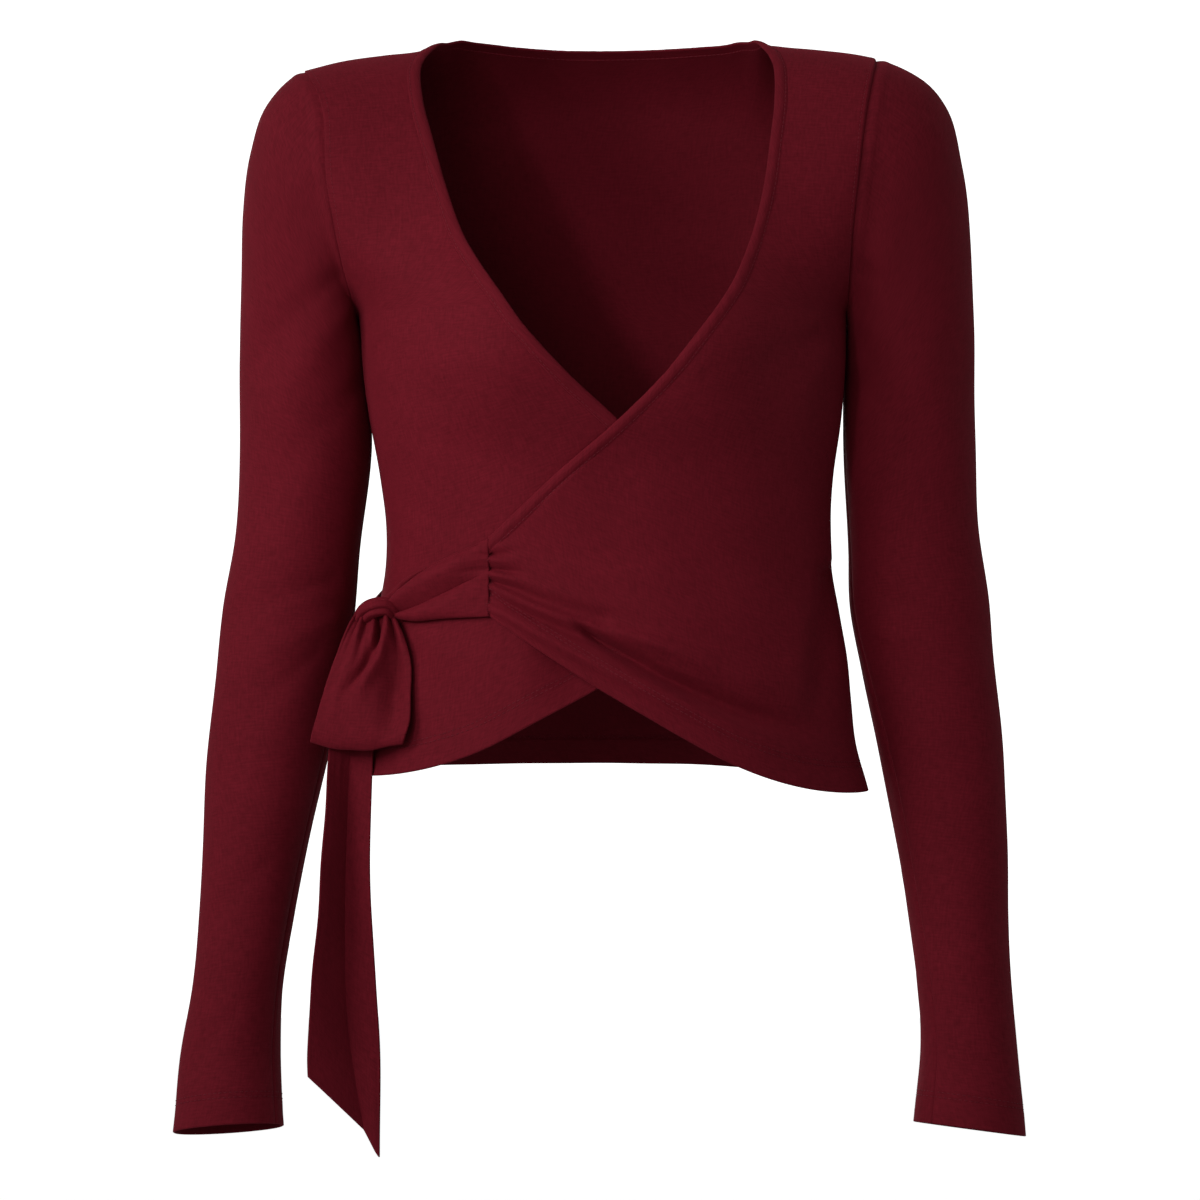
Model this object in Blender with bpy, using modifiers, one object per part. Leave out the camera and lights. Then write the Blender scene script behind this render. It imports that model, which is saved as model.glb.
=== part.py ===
"""A long-sleeved wrap top in fine jersey, closed by a tie with a half bow at the wearer's right side.

X runs to the wearer's left, Y to the back and Z up. The origin is between the shoulders, level with
the neck points, where the wearer holds the top up. Tables and lengths are in millimetres, and MM
turns them into metres. Every cloth piece is a grid of points with a Solidify modifier. The panels,
the neckband and the ties all take their points from one body form, so that their seams meet.
"""

from collections import namedtuple
from math import radians

import bpy
import numpy as np

MM = 0.001
CLOTH = 1.0  # wall of one layer of jersey
DOUBLE = 1.5  # wall of a strip folded double: the neckband and the ties
GAP = 0.4  # between two pieces at a seam
SEAM = 0.5  # between the neckband and the panels
BAND = 6.5  # width of the neckband
BAND_END = 30.0  # the stretch over which its ends are squared to the tie seams
LAYERS = 2.2  # from the under front to the over front, middle to middle
FRONT, BACK = -1, 1  # a face of the body, and the sign of its depth

ARMPIT = -158.0  # level of both armpits
TOP_DEPTH = 5.0  # how far behind the origin the shoulder seams run
ARMHOLE = 58.0  # half the depth of an armhole
SQUARE = 2.4  # how square the body is across: 2 is an ellipse
ROUNDING = {FRONT: 90.0, BACK: 45.0}  # length over which each face rounds into the shoulder

# How finely the pieces are divided.
ARMHOLE_ROWS = 12  # from an armpit to its shoulder point
TIE_SEAM_ROWS, FAN_ROWS = 3, 7  # rows of a front below that: at its tie seam, and up to the armpit
FRONT_COLUMNS, NECK_COLUMNS, SHOULDER_COLUMNS = 13, 13, 4  # a front, the back neck, a back shoulder
TIE_COLUMNS, TIE_ROWS = 8, 8  # the front tie, along and across
LOOP_ROWS, LOOP_COLUMNS, TAIL_ROWS = 21, 5, 14  # the bow's loop and tail, along and across
KNOT_SIDES, KNOT_RINGS = 16, 10
BACK_TIE_STRETCHES = [(35.5, 84, 4), (84, 103, 9), (103, 262, 16), (262, 291, 6)]  # from, to, stations
NECK_STEPS = 480  # fine steps along the neck edge, from which its stations are picked

TIE_SEAM_OVER, TIE_SEAM_UNDER = -61.0, 72.0  # where the ties are sewn to the fronts
TIE_SEAM_FOOT = -330.0
BACK_HEM, HEM_LEFT, HEM_RIGHT = -419.6, -431.0, -421.0  # the hem behind, and at the side seams
SLOT = (-327.0, -301.0)  # the opening in the left side seam, for the back tie
SLOT_DEPTH = 6.5  # degrees round the body that the back gives way there

# A level is a height on the side seams and armholes. Above the armpits each level bows up towards
# the neck, and level 0 is the shoulder line.
Section = namedtuple("Section", "level right left front back")
BODY = [
    Section(-431, -146.0, 154.5, -107, 108),
    Section(-405, -138.0, 147.5, -104, 101),
    Section(-380, -135.5, 145.0, -102, 95),
    Section(-355, -133.0, 142.5, -100, 88),
    Section(-329, -128.5, 138.5, -98, 82),
    Section(-303, -124.0, 134.0, -96, 79),
    Section(-278, -123.5, 133.0, -98, 80),
    Section(-250, -127.0, 134.5, -102, 83),
    Section(-214, -133.4, 139.2, -114, 89),
    Section(-185, -137.0, 141.0, -121, 94),
    Section(-158, -139.5, 141.5, -117, 98),
    Section(-133, -145.5, 141.5, -104, 99),
    Section(-85, -154.0, 145.5, -76, 95),
    Section(-24, -160.5, 154.0, -53, 76),
    Section(0, -171.0, 159.5, -46, 66),
]

Crest = namedtuple("Crest", "across height")  # the shoulder line, and its run-on inside the neck
SHOULDER_LINE = [
    Crest(-171, -14.5), Crest(-150, -8.5), Crest(-125, -4), Crest(-103, 0), Crest(-90, 6),
    Crest(-50, 20), Crest(0, 27), Crest(50, 20), Crest(88, 6), Crest(101, 0.5), Crest(125, -2),
    Crest(150, -5.5), Crest(159.5, -8),
]

Edge = namedtuple("Edge", "level over under")  # the neck opening on the over and the under front
NECKLINE = [
    Edge(-301, -75.0, 86.0), Edge(-287, -61.0, 72.0), Edge(-270, -43.5, 56.0),
    Edge(-250, -23.0, 36.0), Edge(-222, 9.5, 9.5), Edge(-200, 32.4, -14.5),
    Edge(-172, 55.5, -40.7), Edge(-149, 71.5, -57.0), Edge(-121, 84.0, -75.0),
    Edge(-88, 92.7, -87.4), Edge(-61, 96.8, -94.8), Edge(-37, 99.8, -101.0),
    Edge(-15, 100.5, -103.5), Edge(-4, 99.6, -102.3), Edge(0, 98.0, -100.5),
]
Nape = namedtuple("Nape", "across level")  # the neck opening on the back, from left to right
BACK_NECK = [
    Nape(95, -1.0), Nape(88, -3.2), Nape(75, -7.7), Nape(50, -13.4), Nape(25, -17.1), Nape(0, -18.2),
    Nape(-25, -17.1), Nape(-50, -13.4), Nape(-75, -7.7), Nape(-90, -3.2), Nape(-97.5, -1.0),
]

# Rings round a sleeve from the armhole to the cuff. Each leans on two points in the XZ plane, the
# inner one on the body's side, and drop is how much lower its back is, for each mm of depth.
Ring = namedtuple("Ring", "inner_x inner_z outer_x outer_z middle depth drop")
SLEEVE_RIGHT = [
    Ring(-141.8, -161, -183.0, -22.5, 3, 57.0, 0),
    Ring(-142.0, -167, -194.0, -36, 3.5, 56.0, 0),
    Ring(-141.2, -176, -202.0, -61, 4, 54.0, 0),
    Ring(-140.0, -187, -206.5, -95, 5, 51.5, 0),
    Ring(-138.0, -203, -208.8, -135, 6, 48.5, 0),
    Ring(-136.5, -224, -209.0, -180, 7, 46.5, 0),
    Ring(-140.0, -292, -211.5, -282, 9.5, 43.0, 0),
    Ring(-143.0, -328, -219.0, -325, 10, 41.5, 0),
    Ring(-149.5, -366, -223.5, -368, 8, 39.5, 0.03),
    Ring(-157.0, -405, -227.5, -411, 4, 37.0, 0.08),
    Ring(-175.5, -495, -231.0, -502, -11, 31.5, 0.17),
    Ring(-182.0, -540, -234.5, -545, -20, 30.0, 0.19),
    Ring(-183.8, -580, -240.0, -584, -28, 29.0, 0.2),
    Ring(-181.0, -620.5, -243.3, -625, -36, 29.5, 0.21),
]
SLEEVE_LEFT = [
    Ring(143.8, -161, 173.5, -12.5, 3, 57.0, 0),
    Ring(144.2, -167, 189.0, -21.5, 3.5, 56.0, 0),
    Ring(144.0, -176, 201.5, -37, 4, 54.0, 0),
    Ring(143.2, -187, 210.0, -70, 5, 51.5, 0),
    Ring(141.8, -203, 215.0, -112, 6, 48.5, 0),
    Ring(141.8, -224, 216.8, -160, 7, 46.5, 0),
    Ring(145.0, -292, 219.5, -275, 9.5, 43.0, 0),
    Ring(146.2, -328, 226.0, -324, 10, 41.5, 0),
    Ring(153.5, -366, 230.0, -368, 8, 39.5, 0.03),
    Ring(162.0, -405, 233.5, -411, 4, 37.0, 0.07),
    Ring(177.5, -495, 235.7, -502, -9, 31.5, 0.12),
    Ring(183.0, -540, 236.5, -545, -16, 30.0, 0.13),
    Ring(184.8, -580, 239.8, -586, -22, 29.0, 0.13),
    Ring(180.0, -619.5, 243.5, -628, -28, 29.5, 0.13),
]

# The largest folds of the over front, fanning from its tie seam. Sag bows a fold to one side of the
# straight line between its ends. The last one is a trough beside the left side seam.
Fold = namedtuple("Fold", "x1 z1 x2 z2 sag rise width1 width2")
FOLDS = [
    Fold(-61, -299, 25, -322, 3, 1.5, 4.0, 9.0),
    Fold(-61, -307, 96, -356, 5, 2.6, 4.5, 12.0),
    Fold(-61, -321, 80, -388, 5, 3.0, 5.0, 13.0),
    Fold(129, -350, 125, -422, -2, -3.5, 5.0, 13.0),
]

# The front tie on the body, from its seam to the knot.
Strap = namedtuple("Strap", "x top foot")
FRONT_TIE = [
    Strap(-61.4, -287.3, -330.0), Strap(-75.0, -294.0, -330.4), Strap(-89.5, -301.5, -331.0),
    Strap(-100.0, -308.5, -332.5), Strap(-107.0, -314.5, -331.5), Strap(-111.0, -319.5, -328.0),
]

# The back tie: sewn to the under front, out through the side seam, round the back to the knot.
# Around is the place round the body in degrees: 0 in front, 90 at the left side seam, 270 at the right.
Lap = namedtuple("Lap", "around top foot out")
BACK_TIE = [
    Lap(35.5, -288, -330, -2.2), Lap(50, -295, -329, -2.3), Lap(66, -300, -327, -2.3),
    Lap(80, -303, -325.5, -2.4), Lap(88, -303.5, -325, -2.4), Lap(90.5, -303.5, -325, -1.9),
    Lap(94.5, -303.5, -325, 1.9), Lap(103, -303, -327, 2.5), Lap(130, -301, -332, 2.6),
    Lap(162, -300, -335, 2.4), Lap(198, -301, -336, 2.4), Lap(230, -304, -335, 2.6),
    Lap(256, -309, -334, 2.6), Lap(270, -313, -333, 2.6), Lap(280, -316, -332, 3.6),
    Lap(286, -318, -331, 5.0), Lap(291, -319.5, -329, 5.5),
]

KNOT_CENTRE, KNOT_SIZE, KNOT_TILT = (-130.0, -51.5, -325.0), (29.0, 17.0, 12.5), 8.0

# The loop of the bow, down its front, round its foot and up behind.
Span = namedtuple("Span", "left_x left_y right_x right_y height")
BOW_LOOP = [
    Span(-142.0, -57.0, -118.5, -58.0, -332.3), Span(-146.5, -61.0, -114.5, -64.0, -341.0),
    Span(-151.5, -62.0, -111.0, -69.0, -357.0), Span(-156.5, -60.0, -109.0, -74.0, -374.0),
    Span(-160.5, -57.5, -108.8, -78.0, -389.0), Span(-162.8, -55.0, -109.6, -78.5, -398.0),
    Span(-163.4, -51.8, -110.3, -75.5, -401.8), Span(-162.8, -48.8, -110.0, -72.0, -399.5),
    Span(-160.0, -47.8, -109.6, -69.8, -387.0), Span(-155.0, -48.5, -110.2, -67.0, -368.0),
    Span(-148.5, -50.0, -113.5, -61.0, -349.0), Span(-142.0, -51.5, -118.5, -54.5, -334.5),
]

# The hanging end, creased along its length. Its two leaves meet at the spine, behind both edges.
Leaf = namedtuple("Leaf", "height left_x left_y spine_x spine_y right_x right_y")
TAIL = [
    Leaf(-334, -139.0, -46.0, -131.0, -47.5, -124.0, -48.5),
    Leaf(-350, -144.0, -42.0, -134.5, -46.5, -125.5, -51.5),
    Leaf(-375, -149.5, -41.0, -140.0, -46.5, -128.5, -53.5),
    Leaf(-402, -152.5, -42.0, -143.5, -46.5, -129.8, -53.5),
    Leaf(-440, -155.0, -52.0, -145.8, -45.0, -131.0, -52.0),
    Leaf(-490, -158.3, -60.0, -146.3, -42.5, -130.5, -50.5),
    Leaf(-540, -162.2, -61.0, -145.2, -40.5, -127.6, -48.5),
    Leaf(-578, -164.8, -58.0, -142.0, -42.0, -125.9, -47.5),
]
Corner = namedtuple("Corner", "line x y height")  # the ends of those three lines, on the slanting cut
TAIL_CUT = [
    Corner("left", -164.6, -57.5, -590.5), Corner("spine", -134.5, -42.5, -622.0),
    Corner("right", -125.9, -47.0, -637.5),
]

BURGUNDY = (0.150, 0.010, 0.019)


# ---------------------------------------------------------------- curves through the tables


def along(rows, key, value, at):
    """Reads one column of a table at the given keys, on a smooth curve through its rows."""
    keys = np.array([getattr(row, key) for row in rows], float)
    values = np.array([getattr(row, value) for row in rows], float)
    at = np.clip(at, keys[0], keys[-1])
    slopes = np.gradient(values, keys)
    i = np.clip(np.searchsorted(keys, at, side="right") - 1, 0, len(keys) - 2)
    span = keys[i + 1] - keys[i]
    t = (at - keys[i]) / span
    start = (1 + 2 * t) * (1 - t) ** 2 * values[i] + t * (1 - t) ** 2 * span * slopes[i]
    end = t * t * (3 - 2 * t) * values[i + 1] + t * t * (t - 1) * span * slopes[i + 1]
    return start + end


def ease(t):
    t = np.clip(t, 0.0, 1.0)
    return t * t * (3 - 2 * t)


def unit(vectors):
    return vectors / np.maximum(np.linalg.norm(vectors, axis=-1, keepdims=True), 1e-9)


def spline(points, count):
    """Points evenly spaced on a smooth curve through the given points, and a unit tangent at each."""
    points = np.asarray(points, float)
    steps = np.linalg.norm(np.diff(points, axis=0), axis=1)
    knots = np.concatenate([[0.0], np.cumsum(np.sqrt(steps))])
    slopes = np.gradient(points, knots, axis=0)
    fine = np.linspace(0.0, knots[-1], 40 * len(points))
    i = np.clip(np.searchsorted(knots, fine, side="right") - 1, 0, len(knots) - 2)
    span = (knots[i + 1] - knots[i])[:, None]
    t = (fine - knots[i])[:, None] / span
    curve = (1 + 2 * t) * (1 - t) ** 2 * points[i] + t * (1 - t) ** 2 * span * slopes[i]
    curve += t * t * (3 - 2 * t) * points[i + 1] + t * t * (t - 1) * span * slopes[i + 1]
    return resample(curve, count)


def resample(curve, count):
    run = np.concatenate([[0.0], np.cumsum(np.linalg.norm(np.diff(curve, axis=0), axis=1))])
    wanted = np.linspace(0.0, run[-1], count)
    places = np.stack([np.interp(wanted, run, curve[:, k]) for k in range(3)], axis=1)
    return places, unit(np.gradient(places, axis=0))


# ---------------------------------------------------------------- the body form


def shoulder_line(x):
    return along(SHOULDER_LINE, "across", "height", x)


def height_of(x, level):
    """The height of a body point. Above the armpits the levels bow towards the shoulder line."""
    share = np.clip(1.0 - level / ARMPIT, 0.0, None)
    return level + shoulder_line(x) * share**2


def half_width(x, level):
    """From the middle to the side seam or armhole, on the side that x is on."""
    return np.where(
        x >= 0, along(BODY, "level", "left", level), -along(BODY, "level", "right", level)
    )


def armhole_depth(share):
    """How far the armhole lies from the shoulder seam's plane, 0 at the armpit and shoulder point."""
    return ARMHOLE * (2 * np.sqrt(np.clip(share * (1 - share), 0, None))) ** 0.9


def depth_of(face, x, level):
    """The depth of the body form on one face, at places across it."""
    share = np.clip(1.0 - level / ARMPIT, 0.0, 1.0)
    across = np.clip(np.abs(x) / half_width(x, level), 0.0, 1.0)
    reach = (1.0 - across) / (0.9 * share**0.6 + 0.01)
    edge = TOP_DEPTH * share**2 + face * (GAP / 2 + armhole_depth(share) / (1.0 + reach**2))
    top = TOP_DEPTH + face * GAP / 2
    deepest = along(BODY, "level", "front" if face == FRONT else "back", level)
    rounded = np.clip(1.0 + level / ROUNDING[face], 0.0, 1.0)
    middle = top + (deepest - top) * np.sqrt(1.0 - rounded**2)
    arch = (1.0 - across**SQUARE) ** (0.5 + 0.4 * ease(share / 0.35))
    bust = 0.0
    if face == FRONT:
        bust = -8.0 * np.exp(-(((np.abs(x - 3) - 66) / 34) ** 2) - ((level + 186) / 40) ** 2)
    return edge + (middle - edge) * arch + bust * arch


def turn_to_x(turn, level):
    """The place across for an angle in degrees, 90 at the left side and -90 at the right side."""
    return half_width(turn, level) * np.sin(np.radians(turn))


def x_to_turn(x, level):
    return np.degrees(np.arcsin(np.clip(x / half_width(x, level), -1.0, 1.0)))


def on_form(face, turn, level):
    x = turn_to_x(turn, level)
    return np.stack([x, depth_of(face, x, level), height_of(x, level)], axis=-1)


def on_body(face, turn, level, out=0.0):
    """Points on one face of the body, moved out along its normal."""
    turn, level = np.broadcast_arrays(np.asarray(turn, float), np.asarray(level, float))
    step = 0.4
    turn_in = np.clip(turn, -90 + step, 90 - step)
    level_in = np.clip(level, BODY[0].level + step, -step)
    across = on_form(face, turn_in + step, level_in) - on_form(face, turn_in - step, level_in)
    upward = on_form(face, turn_in, level_in + step) - on_form(face, turn_in, level_in - step)
    normal = unit(np.cross(across, upward)) * -face
    return on_form(face, turn, level) + normal * np.asarray(out, float)[..., None], normal


def round_body(around, level, out):
    """Points at places round the whole body, moved out from it."""
    behind = (around > 90) & (around < 270)
    turn = np.where(behind, 180 - around, np.where(around >= 270, around - 360, around))
    ahead_points = on_body(FRONT, turn, level, out)[0]
    return np.where(behind[:, None], on_body(BACK, turn, level, out)[0], ahead_points)


def overlap(x):
    """0 at the right side, where the over front lies outside, to 1 at the left side."""
    return ease((x + 100) / 200)


def over_out(x):
    return LAYERS * (1 - overlap(x))


def under_out(x):
    return -LAYERS * overlap(x)


def folds(x, height):
    """How far the folds stand out of the over front, or sink into it."""
    total = np.zeros(np.broadcast(x, height).shape)
    for f in FOLDS:
        run = np.hypot(f.x2 - f.x1, f.z2 - f.z1)
        along_x, along_z = (f.x2 - f.x1) / run, (f.z2 - f.z1) / run
        t = ((x - f.x1) * along_x + (height - f.z1) * along_z) / run
        aside = (height - f.z1) * along_x - (x - f.x1) * along_z + f.sag * 4 * t * (1 - t)
        width = f.width1 + (f.width2 - f.width1) * np.clip(t, 0, 1)
        fade = ease((1.12 - t) / 0.5) * ease((t + 0.12) / 0.12)
        total = total + f.rise * fade * np.exp(-((aside / width) ** 2))
    return total


# ---------------------------------------------------------------- the neck opening


def neck_opening(count):
    """The neck's opening edge, from the over front's tie round the nape to the under front's tie.

    Gives its points, which way the cloth lies from each, and how far the layer there is moved out.
    """
    stations = [(FRONT, e.over, e.level, over_out(e.over)) for e in NECKLINE]
    stations += [(BACK, n.across, n.level, 0.0) for n in BACK_NECK]
    stations += [(FRONT, e.under, e.level, under_out(e.under)) for e in reversed(NECKLINE)]
    laid = [on_body(face, x_to_turn(x, level), level, out) for face, x, level, out in stations]
    points, tangents = spline([place for place, normal in laid], count)
    nearest = [np.argmin(np.linalg.norm(points - place, axis=1)) for place, normal in laid]
    normals = np.array([normal for place, normal in laid])
    steps = np.arange(count)
    facing = unit(np.stack([np.interp(steps, nearest, normals[:, k]) for k in range(3)], axis=1))
    outs = np.interp(steps, nearest, [out for face, x, level, out in stations])
    return points, unit(np.cross(tangents, facing)), outs


def onto_body(points):
    """The face, place across and level of the body point nearest to each point, at its own x."""
    faces = np.where(points[:, 1] < TOP_DEPTH, FRONT, BACK)
    levels = -(np.linspace(0, 1, 1400) ** 2) * 345
    found = []
    for face, point in zip(faces, points):
        x = np.full_like(levels, point[0])
        miss = (depth_of(face, x, levels) - point[1]) ** 2 + (height_of(x, levels) - point[2]) ** 2
        found.append(levels[np.argmin(miss)])
    return faces, points[:, 0], np.array(found)


def lay(faces, x, levels, outs):
    """Those places as points on the body, each moved out."""
    turn = x_to_turn(x, levels)
    ahead, behind = (on_body(face, turn, levels, outs)[0] for face in (FRONT, BACK))
    return np.where(faces[:, None] == FRONT, ahead, behind)


def pick(curve, steps):
    """Points of an evenly spaced curve at steps that may fall between them."""
    whole = np.arange(len(curve))
    return np.stack([np.interp(steps, whole, curve[:, k]) for k in range(3)], axis=1)


# ---------------------------------------------------------------- meshes


def jersey():
    material = bpy.data.materials.new("jersey")
    material.use_nodes = True
    shader = material.node_tree.nodes["Principled BSDF"]
    shader.inputs["Base Color"].default_value = (*BURGUNDY, 1.0)
    shader.inputs["Roughness"].default_value = 0.85
    shader.inputs["Metallic"].default_value = 0.0
    return material


def cloth(name, grid, wall, closed=False):
    """One piece of cloth: a grid of points in rows, made a wall. Closed rows are rings."""
    rows, columns = grid.shape[:2]
    faces = []
    for r in range(rows - 1):
        for c in range(columns if closed else columns - 1):
            d = (c + 1) % columns
            faces.append((r * columns + c, r * columns + d, (r + 1) * columns + d, (r + 1) * columns + c))
    mesh = bpy.data.meshes.new(name)
    mesh.from_pydata((grid.reshape(-1, 3) * MM).tolist(), [], faces)
    mesh.materials.append(jersey())
    mesh.shade_smooth()
    piece = bpy.data.objects.new(name, mesh)
    TOP.objects.link(piece)
    thickness = piece.modifiers.new("wall", "SOLIDIFY")
    thickness.thickness = wall * MM
    thickness.offset = 0.0
    return piece


def between(first, last, t):
    return first + (last - first) * t


# ---------------------------------------------------------------- the pieces


def armhole_levels():
    """Levels from the armpit to the shoulder point, closer together at both, as round a ring."""
    return ARMPIT * (1 + np.cos(np.pi * np.arange(ARMHOLE_ROWS + 1) / ARMHOLE_ROWS)) / 2


def front_rows(side, x, levels, tie_x):
    """Levels of a front's rows at its inner edge: up the tie seam, up the neckline to the shoulder."""
    order = np.argsort(side * x)
    neck_foot = np.interp(side * tie_x, side * x[order], levels[order])
    return np.concatenate([
        np.linspace(TIE_SEAM_FOOT, neck_foot, TIE_SEAM_ROWS, endpoint=False),
        np.linspace(neck_foot, ARMPIT, FAN_ROWS, endpoint=False),
        armhole_levels(),
    ])


def front(name, side, hem_corner, inner, inner_x, out_of):
    """A front: its rows run from the side seam and armhole to the tie seam and neckline."""
    reach = (ARMPIT - hem_corner) / (ARMPIT - TIE_SEAM_FOOT)
    outer = np.where(inner < ARMPIT, ARMPIT + (inner - ARMPIT) * reach, inner)
    u = np.linspace(0.0, 1.0, FRONT_COLUMNS + 1)[None, :]
    turn_in = x_to_turn(inner_x, inner)[:, None]
    turn = side * 90 + (turn_in - side * 90) * u
    share = (side - np.sin(np.radians(turn))) / (side - np.sin(np.radians(turn_in)))
    hem = np.where(share < 0.4, share**2, 0.8 * share - 0.16) / 0.64
    straight = np.clip((inner - TIE_SEAM_FOOT) / (ARMPIT - TIE_SEAM_FOOT), 0, 1)[:, None]
    level = between(outer[:, None], inner[:, None], between(hem, share, straight))
    x = turn_to_x(turn, level)
    out = out_of(x)
    if side > 0:
        out = out + folds(x, height_of(x, level))
    return cloth(name, on_body(FRONT, turn, level, out)[0], CLOTH)


def back_panel(neck_x, neck_levels):
    """The back: its columns run from the hem to the shoulder seams and the back neck."""
    low = [BACK_HEM, -397, -374, -352, -334, *SLOT, -294, -272, -248, -225, -202, -178]
    base = np.concatenate([low, armhole_levels()])[:, None]
    neck = x_to_turn(neck_x, neck_levels)
    left = np.linspace(90, neck[0], SHOULDER_COLUMNS, endpoint=False)
    right = np.linspace(-90, neck[-1], SHOULDER_COLUMNS, endpoint=False)[::-1]
    turn = np.concatenate([left, neck, right])[None, :]
    top = np.pad(neck_levels, SHOULDER_COLUMNS)[None, :]
    dip = np.sin(np.radians(turn)) ** 3
    hem = BACK_HEM + np.where(dip > 0, (HEM_LEFT - BACK_HEM) * dip, (BACK_HEM - HEM_RIGHT) * dip)
    lower = base + (hem - BACK_HEM) * np.clip((base - SLOT[0]) / (BACK_HEM - SLOT[0]), 0, 1)
    upper = ARMPIT + (base - ARMPIT) * (top - ARMPIT) / -ARMPIT
    level = np.where(base < ARMPIT, lower, upper)
    give = np.where((base >= SLOT[0]) & (base <= SLOT[1]) & (turn > 80), SLOT_DEPTH, 0.0)
    return cloth("back_panel", on_body(BACK, turn - give, level)[0][:, ::-1], CLOTH)


def sleeve(name, side, rings):
    """A set-in sleeve: rings from the armhole, which it shares with the body, to the cuff."""
    around = 2 * ARMHOLE_ROWS
    phi = 2 * np.pi * np.arange(around) / around
    share = (1 + np.cos(phi)) / 2
    level = ARMPIT * (1 - share)
    x = side * half_width(np.full(around, side), level)
    z = height_of(x, level)
    y = TOP_DEPTH * share**2 - np.sign(np.sin(phi)) * armhole_depth(share)
    clear = GAP + 0.2 + 1.1 * ease((0.3 - share) / 0.3)
    grid = [np.stack([x + side * clear, y, z], axis=-1)]
    for ring in rings:
        x = between(ring.inner_x, ring.outer_x, share)
        away = -np.sign(np.sin(phi)) * np.abs(np.sin(phi)) ** 0.9 * ring.depth
        z = between(ring.inner_z, ring.outer_z, share) - ring.drop * away
        grid.append(np.stack([x, ring.middle + away, z], axis=-1))
    grid = np.array(grid)
    return cloth(name, grid[:, :: -side], CLOTH, closed=True)


def front_tie():
    """The tie of the over front, with two soft folds, fanned at its seam and gathered at the knot."""
    u = np.linspace(0, 1, TIE_COLUMNS)[:, None]
    v = np.linspace(0, 1, TIE_ROWS)[None, :]
    x = between(FRONT_TIE[0].x, FRONT_TIE[-1].x, u)
    rows = list(reversed(FRONT_TIE))
    top, foot = along(rows, "x", "top", x), along(rows, "x", "foot", x)
    level = between(foot, top, v)
    crease = 0.9 * (1 - np.cos(4 * np.pi * v)) * ease(u / 0.3)
    turn = x_to_turn(np.broadcast_to(x, level.shape), level)
    out = over_out(x) + crease + 0.6 * ease(u / 0.3)
    return cloth("tie_front", on_body(FRONT, turn, level, out)[0], DOUBLE)


def back_tie():
    """The tie of the under front, out through the side seam and round the back to the knot."""
    around = np.concatenate([np.linspace(*stretch, endpoint=False) for stretch in BACK_TIE_STRETCHES])
    around = np.append(around, BACK_TIE[-1].around)
    out = along(BACK_TIE, "around", "out", around)
    foot, top = (along(BACK_TIE, "around", edge, around) for edge in ("foot", "top"))
    edges = [round_body(around, between(foot, top, t), out) for t in (0, 0.5, 1)]
    return cloth("tie_back", np.stack(edges), CLOTH)


def bow_knot():
    """The cloth wrapped round the knot."""
    bpy.ops.mesh.primitive_uv_sphere_add(segments=KNOT_SIDES, ring_count=KNOT_RINGS, radius=0.5)
    knot = bpy.context.object
    knot.name = knot.data.name = "bow_knot"
    for vertex in knot.data.vertices:
        vertex.co = [vertex.co[k] * KNOT_SIZE[k] * MM for k in range(3)]
    knot.location = [value * MM for value in KNOT_CENTRE]
    knot.rotation_euler = (0, radians(KNOT_TILT), 0)
    knot.data.materials.append(jersey())
    knot.data.shade_smooth()
    for collection in list(knot.users_collection):
        collection.objects.unlink(knot)
    TOP.objects.link(knot)


def bow_loop():
    """The half bow's loop: a strip down from the knot, round its foot and up behind."""
    left = spline([(s.left_x, s.left_y, s.height) for s in BOW_LOOP], LOOP_ROWS)[0]
    right = spline([(s.right_x, s.right_y, s.height) for s in BOW_LOOP], LOOP_ROWS)[0]
    v = np.linspace(0, 1, LOOP_COLUMNS)[None, :, None]
    return cloth("bow_loop", between(left[:, None], right[:, None], v), DOUBLE)


def bow_tail():
    """The hanging end, creased along its length and cut on the slant."""
    lines = []
    for end in TAIL_CUT:
        x, y = ([getattr(leaf, end.line + axis) for leaf in TAIL] for axis in ("_x", "_y"))
        points = list(zip(x, y, [leaf.height for leaf in TAIL]))
        lines.append(spline(points + [(end.x, end.y, end.height)], TAIL_ROWS)[0])
    left, spine, right = lines
    columns = [left, between(left, spine, 0.5), spine, between(spine, right, 0.5), right]
    return cloth("bow_tail", np.stack(columns, axis=1), DOUBLE)


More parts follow.
